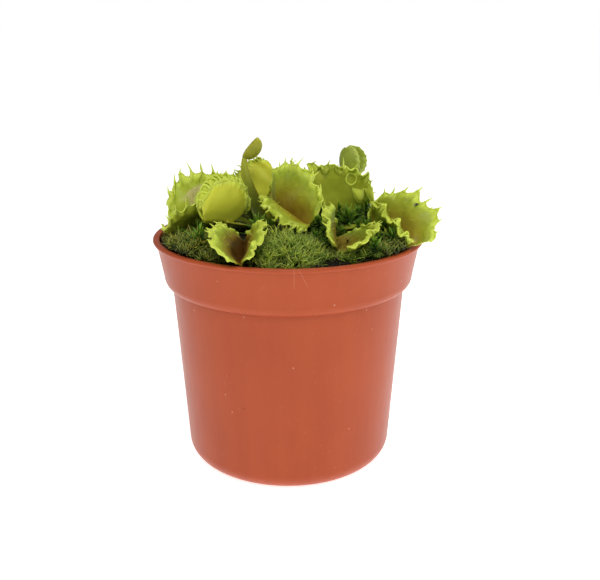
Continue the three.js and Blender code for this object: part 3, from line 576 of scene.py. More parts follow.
def plastic_material():
    """Terracotta plastic with faint streaks, specks, two hairline scratches and soil on the rim."""
    paint = Paint("pot_plastic", 0.45, 0.18)
    soil = paint.plus(paint.attribute("grime"), paint.times(paint.noise(1.5, 4), 0.8))
    layers = [
        (paint.window(paint.noise(26, 2), 0.3, 0.7), 1.0, (0.385, 0.067, 0.022)),
        (paint.window(paint.noise(5, 3, (1, 1, 0.06)), 0.35, 0.7), 0.3, (0.47, 0.094, 0.028)),
        (paint.window(paint.cells(5.5), 0.055, 0.03), 0.6, (0.72, 0.42, 0.28)),
        (paint.window(paint.cells(9.0, (1, 1.1, 0.9)), 0.04, 0.02), 0.7, (0.12, 0.04, 0.02)),
        (paint.window(paint.noise(1.1, 4), 0.62, 0.85), 0.2, (0.60, 0.25, 0.14)),
        *[(scratch(paint, *line), 0.22, (0.75, 0.36, 0.22)) for line in SCRATCHES],
        (paint.window(soil, 0.75, 1.1), 1.0, (0.03, 0.017, 0.009)),
    ]
    body = (0.43, 0.078, 0.026)
    for mask, strength, colour in layers:
        body = paint.mix(paint.times(mask, strength), body, colour)
    paint.give("Base Color", body)
    paint.give("Roughness", paint.plus(paint.times(paint.noise(3, 3, (1, 1, 0.3)), 0.16), 0.28))
    paint.bump(paint.noise(1.8, 3), 0.012)
    paint.soft(0.05, 1.0)
    return paint.material


def peat_material():
    paint = Paint("peat", 0.9, 0.3)
    body = paint.ramp(paint.noise(1.2, 5), (0.25, (0.006, 0.004, 0.003)), (0.55, (0.020, 0.013, 0.008)),
                      (0.8, (0.06, 0.042, 0.026)))
    bits = paint.window(paint.cells(2.6), 0.12, 0.05)
    paint.give("Base Color", paint.mix(paint.times(bits, 0.5), body, (0.16, 0.12, 0.08)))
    paint.bump(paint.noise(0.5, 5), 0.4)
    return paint.material


def rhizome_material():
    paint = Paint("rhizome", 0.55)
    body = paint.ramp(paint.noise(1.5, 4), (0.3, (0.45, 0.36, 0.2)), (0.6, (0.72, 0.64, 0.42)),
                      (0.9, (0.35, 0.22, 0.1)))
    paint.give("Base Color", body)
    paint.bump(paint.noise(0.8, 4, (1, 1, 3)), 0.15)
    paint.soft(0.2, 1.0)
    return paint.material


# ---------------- pot

def arc(centre, radii, first, last, steps):
    """Points of an elliptic arc, angles in degrees from the outward direction."""
    angles = np.radians(np.linspace(first, last, steps))
    return [(centre[0] + radii[0] * cos(a), centre[1] + radii[1] * sin(a)) for a in angles]


def pot_profile():
    """The outline outside from the base to the lip, and inside from the lip to the floor."""
    rounding = BASE_ROUNDING
    bead = LIP_HEIGHT / 2
    lip_foot = POT_HEIGHT - LIP_HEIGHT
    base = BASE_RADIUS - POT_WALL
    outer = arc((BASE_RADIUS - rounding, rounding), (rounding + 0.35, rounding), -90, 0, 12)
    outer += [(BODY_TOP_RADIUS - 0.02, BODY_TOP_Z - 0.5), (BODY_TOP_RADIUS + 0.02, BODY_TOP_Z - 0.15)]
    outer += arc((BODY_TOP_RADIUS + 0.2, COLLAR_FOOT_Z), (2.5, COLLAR_FOOT_Z - BODY_TOP_Z), -88, 0, 12)
    outer += [(COLLAR_TOP_RADIUS, lip_foot - 0.45), (COLLAR_TOP_RADIUS + 0.1, lip_foot - 0.15)]
    outer += arc((LIP_RADIUS - bead, POT_HEIGHT - bead), (bead, bead), -80, 90, 9)
    inner = [(COLLAR_TOP_RADIUS - 0.2, POT_HEIGHT - 0.02)]
    inner += arc((COLLAR_TOP_RADIUS - 0.4, POT_HEIGHT - 0.6), (0.6, 0.58), 120, 180, 4)
    inner += [(PEAT_RADIUS + 0.55, PEAT_EDGE_Z), (COLLAR_FOOT_RADIUS - POT_WALL, COLLAR_FOOT_Z + 0.5),
              (BODY_TOP_RADIUS - POT_WALL, BODY_TOP_Z + 0.4), (base + 0.35, rounding),
              (base - rounding * 0.15, rounding * 0.5), (base - rounding * 0.5, POT_FLOOR + 0.6),
              (base - rounding, POT_FLOOR)]
    return outer, inner


def cut(piece, cutter):
    """Takes the cutter out of the piece and leaves plain mesh behind."""
    modifier = piece.modifiers.new("cut", "BOOLEAN")
    modifier.operation = "DIFFERENCE"
    modifier.solver = "EXACT"
    modifier.object = cutter
    view = bpy.context.evaluated_depsgraph_get()
    mesh = bpy.data.meshes.new_from_object(piece.evaluated_get(view))
    piece.modifiers.clear()
    piece.data = mesh
    bpy.data.objects.remove(cutter)


def make_pot():
    shape = Shape()
    outer, inner = pot_profile()
    rings = [circle(POT_SEGMENTS) * radius + UP * z for radius, z in outer + inner]
    grime = [0.0] * len(outer) + [smooth(z, POT_HEIGHT - 0.2, PEAT_EDGE_Z) for _, z in inner]
    tube(shape, rings[::-1], grime=grime[::-1])
    pot = shape.piece("plastic_pot", plastic_material(), "pot_plastic", ["pot"])
    drills = Shape()
    for i in range(DRAIN_HOLES):
        angle = (i + 0.5) * 2 * pi / DRAIN_HOLES
        centre = DRAIN_CIRCLE_RADIUS * np.array([cos(angle), sin(angle), 0])
        ring = circle(32) * DRAIN_HOLE_RADIUS + centre
        tube(drills, [ring - 3 * UP, ring + 5 * UP])
    cutter = bpy.data.objects.new("drills", drills.mesh("drills"))
    bpy.context.scene.collection.objects.link(cutter)
    cut(pot, cutter)
    pot.data.set_sharp_from_angle(angle=radians(SHARP_ANGLE))


# ---------------- peat

def peat_height(x, y):
    out = np.hypot(x, y) / LIP_RADIUS
    lumps = np.sin(x * 0.71 + 1.3) * np.cos(y * 0.63 - 0.4) + 0.6 * np.sin(x * 1.37 - y * 1.13)
    return PEAT_EDGE_Z + PEAT_MOUND * (1 - out * out) + PEAT_LUMP * lumps


def make_peat():
    shape = Shape()
    around = circle(180)
    sides = [(26.5, POT_FLOOR + 0.3), (33.6, BASE_ROUNDING + 0.3), (BODY_TOP_RADIUS - 1.5, BODY_TOP_Z + 0.4),
             (COLLAR_FOOT_RADIUS - 1.5, COLLAR_FOOT_Z + 0.5)]
    rings = [around * radius + UP * z for radius, z in sides]
    for radius in np.linspace(PEAT_RADIUS, 0.5, 60):
        x, y = (around * radius).T[:2]
        rough = 0.25 * np.sin(x * 3.1 + 2 * np.sin(y * 1.7)) * np.sin(y * 2.7)
        rings.append(np.stack([x, y, peat_height(x, y) + rough], axis=-1))
    tube(shape, rings)
    add_crumbs(shape, np.random.default_rng(CRUMB_SEED))
    shape.piece("peat_plug", peat_material(), "peat", ["soil"])


def add_crumbs(shape, rng):
    """Loose crumbs that lie on the peat, more of them along the front right of the rim."""
    corners = np.array([(1, 0, 0), (-1, 0, 0), (0, 1, 0), (0, -1, 0), (0, 0, 1), (0, 0, -1)], dtype=float)
    sides = [(0, 2, 4), (2, 1, 4), (1, 3, 4), (3, 0, 4), (2, 0, 5), (1, 2, 5), (3, 1, 5), (0, 3, 5)]
    for i in range(CRUMBS):
        if i % 3:
            turn = radians(rng.uniform(275, 335))
            out = rng.uniform(30, PEAT_RADIUS - 0.6)
        else:
            turn = rng.uniform(0, 2 * pi)
            out = (PEAT_RADIUS - 0.8) * np.sqrt(rng.random())
        x, y = out * cos(turn), out * sin(turn)
        size = rng.uniform(*CRUMB_RADII) * (1.3 if rng.random() < 0.1 else 1.0)
        first = unit(rng.normal(size=3))
        second = unit(np.cross(first, rng.normal(size=3)))
        basis = np.stack([first, second, np.cross(first, second)])
        lump = (corners * rng.uniform(0.5, 1.2, size=(6, 1)) * (1.0, 0.7, 0.55)) @ basis * size
        shape.add(lump + (x, y, peat_height(x, y) + rng.uniform(0.0, 0.9)), [sides])


# ---------------- leaves

def random_stream(seed):
    """The same repeatable numbers between 0 and 1 as the solid model draws."""
    mask = 0xFFFFFFFF
    state = seed * 2654435761 & mask
    while True:
        state = (state + 0x6D2B79F5) & mask
        mixed = (state ^ state >> 15) * (state | 1) & mask
        mixed ^= (mixed + ((mixed ^ mixed >> 7) * (mixed | 61) & mask)) & mask
        yield ((mixed ^ mixed >> 14) & mask) / 4294967296


def arc_end(start, bend, length):
    """Where a path ends that starts at an angle, turns by bend and has this length."""
    bend = np.where(np.abs(bend) < 1e-4, 1e-4, bend)
    scale = length / bend
    return (scale * (np.sin(start + bend) - np.sin(start)),
            scale * (np.cos(start) - np.cos(start + bend)))


class Trap:
    """The frame of one trap: its midrib, the way it opens and its sides."""

    def __init__(self, leaf):
        self.leaf = leaf
        self.start, end = np.array([leaf.start, leaf.end], dtype=float)
        self.length = np.linalg.norm(end - self.start)
        self.along = (end - self.start) / self.length
        mouth = np.array(leaf.mouth, dtype=float)
        self.mouth = unit(mouth - self.along * mouth.dot(self.along))
        self.side = np.cross(self.along, self.mouth)
        self.centre = (self.start + end) / 2

    def point(self, lobe, around, out):
        """around runs from 0 to 1 along the midrib, out from 0 there to 1 at the margin."""
        leaf = self.leaf
        around, out = np.broadcast_arrays(np.asarray(around, float), np.asarray(out, float))
        angle = TRAP_END_ANGLE + around * (pi - 2 * TRAP_END_ANGLE)
        reach = leaf.reach[lobe] * np.sin(angle) ** leaf.taper
        spread = np.radians(leaf.spread[lobe] + leaf.splay[lobe] * (around - 0.5))
        bow = radians(leaf.bow[lobe])
        inner = np.minimum(out, 0.8)
        forward, across = arc_end(spread, bow * inner, reach * inner)
        rest = np.maximum(out - 0.8, 0)
        turn = bow * rest + radians(leaf.curl[lobe]) * rest / 0.2
        more_forward, more_across = arc_end(spread + bow * 0.8, turn, reach * rest)
        forward = forward + more_forward
        across = across + more_across
        rib_place = -np.cos(angle) * self.length / 2
        margin_place = -np.cos(angle) * leaf.half_length[lobe] + leaf.shift[lobe]
        place = rib_place + (margin_place - rib_place) * np.minimum(out, 1) ** 0.8
        sag = leaf.sag * self.length * np.sin(angle)
        sideways = across if lobe == 0 else -across
        return (self.centre + place[..., None] * self.along + (forward - sag)[..., None] * self.mouth
                + sideways[..., None] * self.side)

    def outward(self, lobe, around):
        return unit(self.point(lobe, around, 1.0) - self.point(lobe, around, 0.85))


def draw_teeth(trap, draw):
    """The long teeth of both lobes, with the same draws as the solid model's."""
    teeth = [[], []]
    for lobe in (0, 1):
        for column in range(TEETH):
            around = (column + 0.5) / TEETH
            length = trap.leaf.tooth * (0.75 + 0.5 * next(draw)) * (0.55 + 0.45 * sin(pi * around))
            lean = trap.along * 0.5 * (next(draw) - 0.5)
            tip = trap.point(lobe, around, 1.0) + (trap.outward(lobe, around) + lean) * length
            tip = tip + trap.side * trap.leaf.frill * 1.2 * (next(draw) - 0.5)
            teeth[lobe].append((around, length, tip))
    return teeth


def ripples(rng, x, y, coarse, fine, count=9):
    """Smooth random waves between about -1 and 1 over two directions."""
    total = 0
    for _ in range(count):
        turn = rng.uniform(0, 2 * pi)
        rate = rng.uniform(coarse, fine)
        total = total + np.sin(rate * (x * cos(turn) + y * sin(turn)) + rng.uniform(0, 6.3))
    return total / np.sqrt(count)


class Sheet:
    """Both lobes as one sheet of points, from one margin over the midrib to the other."""

    def __init__(self, trap, wave_start, teeth, rng):
        frill = trap.leaf.frill
        self.around = np.linspace(0, 1, TEETH * STEPS_PER_TOOTH + 1)[None, :]
        step = np.arange(-ROWS, ROWS + 1)[:, None]
        self.out = 1 - (1 - np.abs(step) / ROWS) ** 1.25
        self.lobe = np.where(step > 0, 0, 1)
        self.signed = np.where(step > 0, self.out, -self.out)
        first = (self.lobe == 0)[..., None]
        points = np.where(first, trap.point(0, self.around, self.out), trap.point(1, self.around, self.out))
        wave = frill * np.maximum(0, self.out - 0.5) * 2 \
            * np.sin(wave_start + self.around * WAVE_TURNS + 4 * self.signed)
        points = points + wave[..., None] * trap.side
        self.points = self.webbed(trap, teeth, points)
        self.find_normal()
        self.pucker(frill, rng)

    def webbed(self, trap, teeth, points):
        """The points with the margin drawn out toward the teeth."""
        column = self.around * TEETH
        nearest = np.clip(column.astype(int), 0, TEETH - 1)
        gap = 1 - 2 * np.abs(column - nearest - 0.5)
        climb = WEB_SHARE * gap ** 2.2 * smooth(self.out, 0.84, 1.0)
        centres = (np.arange(TEETH) + 0.5) / TEETH
        for lobe in (0, 1):
            tips = np.array([tooth[2] for tooth in teeth[lobe]])
            reach = (tips - trap.point(lobe, centres, 1.0))[nearest[0]]
            points = points + np.where(self.lobe == lobe, climb, 0)[..., None] * reach[None]
        return points

    def find_normal(self):
        self.normal = unit(np.cross(np.gradient(self.points, axis=1), np.gradient(self.points, axis=0)))

    def pucker(self, frill, rng):
        """Shallow bulges on the faces, and curls along the margins."""
        out, column = self.out, self.around * TEETH
        curl = ripples(rng, column, self.signed * 2, 2.5, 9)
        curl += 0.5 * ripples(rng, column, self.signed * 2, 9, 18)
        bulge = ripples(rng, column, self.signed * 5, 1.0, 2.6)
        lift = frill * curl * smooth(out, 0.72, 1.0) ** 1.4
        lift = lift + 0.42 * frill ** 1.6 * bulge * np.sin(pi * out)
        self.points = self.points + self.normal * lift[..., None]
        self.find_normal()


def leaf_values(leaf, sheet, inner):
    """Numbers for the leaf's colour at each point of one face."""
    around, out = np.broadcast_arrays(sheet.around, sheet.out)
    middle = np.sin(pi * np.clip(around, 0.02, 0.98)) ** 0.5
    blush = leaf.blush * (1 - smooth(out, 0.1 * leaf.depth, leaf.depth)) * (0.55 + 0.45 * middle)
    patch = np.exp(-((around - 0.5) / 0.2) ** 2 - ((out - 0.62) / 0.22) ** 2)
    dry = 0.9 * patch * (leaf.name == "far_left") * (sheet.lobe == 0)
    # A very dark painted shadow spot near the margin of the right trap's second lobe.
    spot = 1 - np.hypot((around - 0.58) * 40, (out - 0.9) * 18)
    black = smooth(spot, 0, 0.4) * (leaf.name == "right") * (sheet.lobe == 1)
    if not inner:
        blush = blush * 0.12
        dry = dry * 0.6
    yellow = leaf.yellow * (0.5 if inner else 1.0) * (1 - np.minimum(blush, 1))
    # Painted shade on each lobe's face, full out to shade_reach and gone half a margin farther out.
    darkest = leaf.inner_shade if inner else leaf.shade
    shade = np.where(sheet.lobe == 0, *darkest) * (1 - smooth(out, leaf.shade_reach, leaf.shade_reach + 0.5))
    return dict(blush=blush, edge=smooth(out, 0.8, 1.0), dry=dry, black=black, yellow=yellow, shade=shade)


def add_blade(shape, trap, sheet):
    """The sheet given its thickness, thinner at the margin and with a ridge along the midrib."""
    lines, columns = sheet.points.shape[:2]
    half = TRAP_THICKNESS / 2 * (1 - 0.45 * smooth(sheet.out, 0.5, 0.95))
    ridge = RIDGE_HEIGHT * np.exp(-(sheet.out / 0.05) ** 2)
    outer = sheet.points + sheet.normal * (half + ridge)[..., None]
    inner = sheet.points - sheet.normal * half[..., None]
    faces = grid_faces(lines, columns)
    index = np.arange(lines * columns).reshape(lines, columns)
    border = np.concatenate([index[0, :], index[1:, -1], index[-1, -2::-1], index[-2:0:-1, 0]])
    after = np.roll(border, -1)
    edge = np.stack([after - index.size, border - index.size, border, after], axis=-1)
    shape.add(outer, [faces], **leaf_values(trap.leaf, sheet, False))
    shape.add(inner, [faces[:, ::-1], edge], **leaf_values(trap.leaf, sheet, True))


def add_tooth(shape, base, outward, tip, radius, bend):
    """A spine that leaves the margin outward and bends on its way to its tip."""
    length = np.linalg.norm(tip - base)
    t = np.linspace(0, 1, 9)
    path = bezier([base - outward * 0.25 * length, base + outward * 0.3 * length,
                   base + outward * 0.65 * length + bend * 0.3 * length, tip + bend * length], t)
    add_rod(shape, path, radius * (1 - t ** 0.9) + TOOTH_TIP_RADIUS, edge=0.8 + 0.2 * t)


def add_teeth(shape, trap, teeth, sheet, rng):
    """A thick rim along each margin, its long teeth and small ones between them."""
    tooth = trap.leaf.tooth
    for lobe in (0, 1):
        margin = sheet.points[-1] if lobe == 0 else sheet.points[0]
        add_rod(shape, margin, min(BEAD_RADIUS, 0.3 * tooth), edge=0.9)
        if tooth < 1:
            continue
        for around, length, tip in teeth[lobe]:
            base = margin[int(round(around * TEETH * STEPS_PER_TOOTH))]
            bend = trap.mouth * rng.uniform(-0.05, 0.2) + rng.normal(0, 0.06, 3)
            radius = min(TOOTH_RADIUS, 0.2 + 0.06 * length, 0.3 * length)
            add_tooth(shape, base, unit(tip - base), tip, radius, bend)
        for index in range(1, TEETH):
            if rng.random() < 0.5:
                continue
            outward = trap.outward(lobe, index / TEETH)
            base = margin[index * STEPS_PER_TOOTH + rng.integers(-3, 4)]
            tip = base + (outward + 0.3 * rng.normal(size=3)) * tooth * rng.uniform(0.15, 0.4)
            radius = min(SMALL_TOOTH_RADIUS, 0.3 * np.linalg.norm(tip - base))
            add_tooth(shape, base, outward, tip, radius, rng.normal(0, 0.2, 3))


def add_seam(shape, trap, sheet, rng):
    """The margins of a closed trap: flesh that fills the gap, rims, and short teeth across."""
    last = sheet.points.shape[1] - 1
    first, second = sheet.points[-1, ::2], sheet.points[0, ::2]
    across = np.linspace(0, 1, 9)[None, :, None]
    sunk = SEAM_DEPTH * np.sin(pi * across) ** 0.5
    top = first[:, None] * (1 - across) + second[:, None] * across - trap.mouth * sunk
    strip = np.concatenate([top, top[:, ::-1] - trap.mouth * SEAM_DEPTH], axis=1)
    tube(shape, strip, edge=0.62, yellow=0.5)
    for margin in (first, second):
        add_rod(shape, margin, SEAM_RIM_RADIUS, edge=0.9)
    for index in range(trap.leaf.seam):
        near = int((index + 0.5) / trap.leaf.seam * last)
        far = np.clip(near + rng.integers(-3, 4), 0, last)
        one, other = sheet.points[-1, near], sheet.points[0, far]
        rise = trap.mouth * rng.uniform(0.2, 0.6)
        t = np.linspace(0, 1, 9)
        path = bezier([one - rise, one + rise, other + rise, other - rise], t)
        add_rod(shape, path, TOOTH_RADIUS - 0.12 * np.sin(pi * t), edge=1.0)


def add_pod(shape, trap):
    """A young trap that is still shut: a smooth flattened pod with a rim where its lobes meet."""
    angle = np.linspace(0.03, pi - 0.03, 44)[:, None]
    turn = (np.arange(48) * 2 * pi / 48)[None, :]
    to_mouth = np.abs(np.angle(np.exp(1j * turn))) + 0 * angle
    reach = trap.leaf.reach[0]
    rim = 1 + 0.07 * np.exp(-(to_mouth / 0.16) ** 2)
    swell = np.sin(angle) ** 0.8
    height = reach * swell * np.cos(turn) * np.where(np.cos(turn) > 0, POD_HEIGHT * rim, POD_BACK)
    width = POD_WIDTH * reach * swell * np.sin(turn)
    place = -np.cos(angle) * (trap.length / 2 + TRAP_THICKNESS)
    middle = trap.centre + trap.mouth * 0.05 * reach
    rings = middle + place[..., None] * trap.along + height[..., None] * trap.mouth \
        + width[..., None] * trap.side
    blush = 0.2 + 0.5 * np.exp(-((pi - to_mouth) / 0.5) ** 2)
    edge = 0.5 * np.exp(-(to_mouth / 0.2) ** 2)
    tube(shape, rings[:, ::-1], blush=blush[:, ::-1], yellow=0.2, edge=edge[:, ::-1])


def add_flap(shape, trap, left, low, right):
    """A rounded tongue of the margin that curls over the front lobe, with a thick rim."""
    left, low, right = (trap.point(0, *place) + trap.side * CURL_LIFT * lift
                        for place, lift in ((left, 1), (low, 3.5), (right, 1)))
    middle = (left + right) / 2
    turn = np.linspace(0, pi, 17)[:, None]
    rim = middle + (left - right) / 2 * np.cos(turn) + (low - middle) * np.sin(turn)
    root = left + (right - left) * np.linspace(0, 1, 17)[:, None] - trap.side * 2 * CURL_LIFT
    down = np.linspace(0, 1, 7)[:, None, None]
    bulge = 0.9 * np.sin(pi * down) * np.sin(turn)[None] * trap.side
    face = root[None] * (1 - down) + rim[None] * down + bulge
    half = TONGUE_THICKNESS / 2 * trap.side
    loop = np.concatenate([face + half, face[::-1] - half], axis=0).transpose(1, 0, 2)
    tube(shape, loop, edge=0.75, yellow=0.6)
    add_rod(shape, rim, BEAD_RADIUS, edge=1.0)


def add_ring(shape, trap, place):
    """A tooth that has curled into a ring in front of the lobe."""
    centre = trap.point(0, *place) + trap.side * 3 * CURL_LIFT
    turn = np.linspace(-0.3, 2 * pi, 40)[:, None]
    path = centre + CURL_RING_RADIUS * (trap.along * np.sin(turn) + trap.mouth * np.cos(turn)) \
        - trap.side * 3 * CURL_LIFT * (turn / (2 * pi)) ** 3
    add_rod(shape, path, BEAD_RADIUS - 0.1 * np.linspace(1, 0, 40), edge=1.0)


def add_trigger_hairs(shape, trap, sheet):
    """Three stiff hairs on each inner face."""
    columns = sheet.points.shape[1]
    for side in (-1, 1):
        for around, shift in ((0.36, 0), (0.5, 2), (0.64, 0)):
            place = ROWS + side * (ROWS // 2 + shift), int(around * columns)
            base, out = sheet.points[place], -sheet.normal[place]
            add_tooth(shape, base, out, base + out * HAIR_LENGTH, HAIR_RADIUS, trap.along * 0.1)


def add_stalk(shape, trap):
    """The winged stalk, from the crown to the neck of the trap."""
    leaf = trap.leaf
    ring = radians(leaf.ring)
    foot = CROWN + CROWN_RADIUS * np.array([cos(ring), sin(ring), 0])
    neck = trap.start
    run = hypot(neck[0] - foot[0], neck[1] - foot[1])
    second = leaf.lead or foot + (neck - foot) * 0.1 + UP * (5 + 0.1 * run)
    third = neck - trap.along * (0.4 * run + 1) - UP * 0.1 * run
    t = np.linspace(0, 1, STALK_STEPS)
    path = bezier([foot, second, third, neck + trap.along * 2.2], t)
    tangent = unit(np.gradient(path, axis=0))
    face = np.array(leaf.face or trap.mouth, dtype=float)
    up = face * t[:, None] + UP * (1 - t)[:, None]
    up = unit(up - tangent * np.sum(up * tangent, axis=1, keepdims=True))
    across = np.cross(up, tangent)
    winged = np.clip((t - 0.15) / 0.8, 0, 1) ** leaf.wing_place
    swell = np.sin(pi * winged) ** 1.2
    half = (leaf.neck_width + (leaf.stalk_width - leaf.neck_width) * swell) / 2
    half = half * (1 + 0.05 * np.sin(t * 34 + leaf.seed))
    lift = 0.5 * swell + 0.18 * swell * np.sin(t * 27 + leaf.seed)
    s = np.linspace(1, -1, 11)
    place = np.concatenate([s, s[::-1]])
    fold = lift[:, None] * np.abs(s) ** 1.6
    thin = STALK_HALF_THICKNESS * (1 - 0.45 * s ** 2)
    upper = fold + thin + 0.2 * np.exp(-(s / 0.3) ** 2)
    lower = fold - thin - STALK_KEEL * np.exp(-(s / 0.28) ** 2)
    height = np.concatenate([upper, lower[:, ::-1]], axis=1)
    rings = path[:, None, :] + across[:, None, :] * (half[:, None] * place)[..., None] \
        + up[:, None, :] * height[..., None]
    blush = STALK_BLUSH * np.abs(place) ** 3 * np.ones((STALK_STEPS, 1))
    # Painted shade, full at the crown and fading out along the stalk from stalk_light on.
    shade = STALK_SHADE * (1 - smooth(t, leaf.stalk_light, leaf.stalk_light + 0.5))
    tube(shape, rings, edge=0.2, yellow=0.2 + 0.4 * leaf.yellow, blush=blush, shade=shade)


def make_leaf(leaf, materials):
    trap = Trap(leaf)
    draw = random_stream(leaf.seed)
    wave_start = next(draw) * 6
    rng = np.random.default_rng(leaf.seed)
    teeth = draw_teeth(trap, draw)
    shape = Shape()
    if leaf.tooth:
        sheet = Sheet(trap, wave_start, teeth, rng)
        add_blade(shape, trap, sheet)
        add_teeth(shape, trap, teeth, sheet, rng)
        if leaf.tooth > 1:
            add_trigger_hairs(shape, trap, sheet)
        if leaf.seam:
            add_seam(shape, trap, sheet, rng)
    else:
        add_pod(shape, trap)
    if leaf.name == "back_right":
        for flap in FLAPS:
            add_flap(shape, trap, *flap)
        add_ring(shape, trap, RING_PLACE)
    add_stalk(shape, trap)
    slot = "young_leaf" if "young" in leaf.name else "leaf"
    return shape.piece(f"leaf_{leaf.name}_fine", materials[slot], slot, ["leaf_" + leaf.name])


# ---------------- moss

def leaf_tree(leaves):
    """A tree of all leaf faces, to keep moss out of the leaves."""
    points = []
    faces = []
    for leaf in leaves:
        first = len(points)
        points.extend(vertex.co for vertex in leaf.data.vertices)
        faces.extend([corner + first for corner in face.vertices] for face in leaf.data.polygons)
    return BVHTree.FromPolygons(points, faces)


def clear_of(tree, roots, directions, lengths):
    """Which blades meet no leaf."""
    blades = zip(roots * MM, unit(directions), lengths * MM)
    hits = [tree.ray_cast(Vector(root), Vector(way), reach)[0] for root, way, reach in blades]
    return np.array([hit is None for hit in hits])


def inside_pot(points):
    """Which points are clear of the pot's wall, or above its rim and near it."""
    low = points[:, 2] < POT_HEIGHT + 0.5
    return np.hypot(points[:, 0], points[:, 1]) < np.where(low, PEAT_RADIUS - 0.2, PEAT_RADIUS + 2.5)


def dome_height(moss, out):
    edge = MOSS_SEAT_Z + MOSS_EDGE_HEIGHT
    return edge + (moss.top - moss.blade * 0.6 - edge) * (1 - out ** 2.2)


def add_core(shape, moss):
    """The dome that the shoots of a cushion stand on, kept inside the pot's wall, and coloured very dark as
    painted shade under the shoots.
    """
    around = circle(64)[:, :2] * moss.radii
    rings = []
    for out in np.append(np.linspace(0.94, 0.05, 12), 0.01):
        flat = around * out + moss.at
        flat *= np.minimum(1, (PEAT_RADIUS - 1.2) / np.linalg.norm(flat, axis=1, keepdims=True))
        rings.append(np.column_stack([flat, np.full(64, dome_height(moss, out) - 1.6)]))
    foot = rings[0] * (1, 1, 0) + UP * MOSS_SEAT_Z
    tube(shape, [foot] + rings, along=0.0, tint=0.2)


def add_shoots(shape, base, axis, height, blade, per_shoot, rng, tree, thickness,
               opening=72, droop=0.35, tone=0.0):
    """Small moss shoots: fine blades that spread from a short stem and curve outward."""
    count = len(base)
    root = np.repeat(base, per_shoot, axis=0)
    stem = np.repeat(unit(axis), per_shoot, axis=0)
    place = np.tile(np.linspace(0.15, 1.0, per_shoot), count)
    root = root + stem * (place * np.repeat(height, per_shoot))[:, None]
    side = unit(np.cross(stem, rng.normal(size=stem.shape)))
    open_angle = np.radians(opening - 50 * place + rng.normal(0, 12, len(root)))
    direction = stem * np.cos(open_angle)[:, None] + side * np.sin(open_angle)[:, None]
    length = blade * rng.uniform(0.55, 1.25, len(root))
    bend = side * rng.uniform(0.0, droop, len(root))[:, None] + rng.normal(0, 0.15, root.shape)
    keep = inside_pot(root + (direction + bend) * length[:, None]) & inside_pot(root)
    keep &= clear_of(tree, root, direction + bend, length)
    tint = np.repeat(rng.random(count) + 0.3 * tone, per_shoot) * 0.6 + 0.4 * rng.random(len(root))
    wide = thickness * rng.uniform(0.7, 1.3, len(root))
    needles(shape, root[keep], direction[keep], length[keep], bend[keep], side[keep],
            wide[keep], wide[keep] * 0.6, 3, 2, tint=tint[keep])


def make_cushion(moss, materials, tree):
    rng = np.random.default_rng(moss.seed)
    shape = Shape()
    add_core(shape, moss)
    kind = SHOOTS[moss.slot]
    out = np.sqrt(rng.random(moss.shoots)) * 1.05
    turn = rng.uniform(0, 2 * pi, moss.shoots)
    x = moss.radii[0] * out * np.cos(turn)
    y = moss.radii[1] * out * np.sin(turn)
    lumps = ripples(rng, x, y, 0.6, 1.5)
    z = dome_height(moss, np.minimum(out, 1)) - kind.sunk + 0.9 * lumps
    base = np.stack([x + moss.at[0], y + moss.at[1], z], axis=-1)
    axis = np.stack([x * 0.07, y * 0.07, np.ones(moss.shoots)], axis=-1)
    axis = axis + rng.normal(0, 0.35, axis.shape)
    height = rng.uniform(*kind.height, moss.shoots)
    # The tone follows the lumps: painted shade on the low shoots and painted light on the high ones.
    add_shoots(shape, base, axis, height, moss.blade * kind.stretch, kind.blades, rng, tree, kind.thickness,
               kind.opening, 0.6, kind.tone * lumps + moss.tone)
    shape.piece(f"moss_{moss.name}_fine", materials[moss.slot], moss.slot, ["moss_" + moss.name])


def make_carpet(materials, tree):
    """Low moss between the cushions. The peat stays bare along the front right of the rim."""
    rng = np.random.default_rng(CARPET_SEED)
    out = np.sqrt(rng.random(CARPET_SHOOTS)) * (PEAT_RADIUS - 0.8)
    turn = rng.uniform(0, 2 * pi, CARPET_SHOOTS)
    x = out * np.cos(turn)
    y = out * np.sin(turn)
    bare = (out > BARE_RIM[0]) & (x > BARE_RIM[1]) & (y < BARE_RIM[2])
    keep = ~bare & (ripples(rng, x, y, 0.2, 0.6) > -0.9)
    for at, radius in [(CROWN, BARE_CROWN_RADIUS), BARE_PEAT, *HOLLOWS]:
        keep &= np.hypot(x - at[0], y - at[1]) >= radius
    base = np.stack([x, y, peat_height(x, y) - 0.3], axis=-1)[keep]
    axis = UP + rng.normal(0, 0.4, base.shape)
    shape = Shape()
    add_shoots(shape, base, axis, rng.uniform(0.6, 2.4, len(base)), 2.2, 11, rng, tree, 0.19)
    shape.piece("moss_carpet", materials["dark_moss"], "dark_moss")


def make_wisps(materials, tree):
    """Long strands that lie over the peat, and a taller tuft at the back right."""
    rng = np.random.default_rng(WISP_SEED)
    shape = Shape()
    for middle, radius, count, height in WISPS:
        place = rng.normal(0, radius * 0.5, (count, 2)) + middle
        base = np.column_stack([place, peat_height(*place.T) + 0.2])
        axis = UP + rng.normal(0, 0.5, base.shape)
        add_shoots(shape, base, axis, rng.uniform(0.2, 1.0, count) * height, 3.9, 6, rng, tree, 0.2,
                   opening=82, droop=0.7)
    shape.piece("moss_wisps", materials["bright_moss"], "bright_moss")


# ---------------- star moss

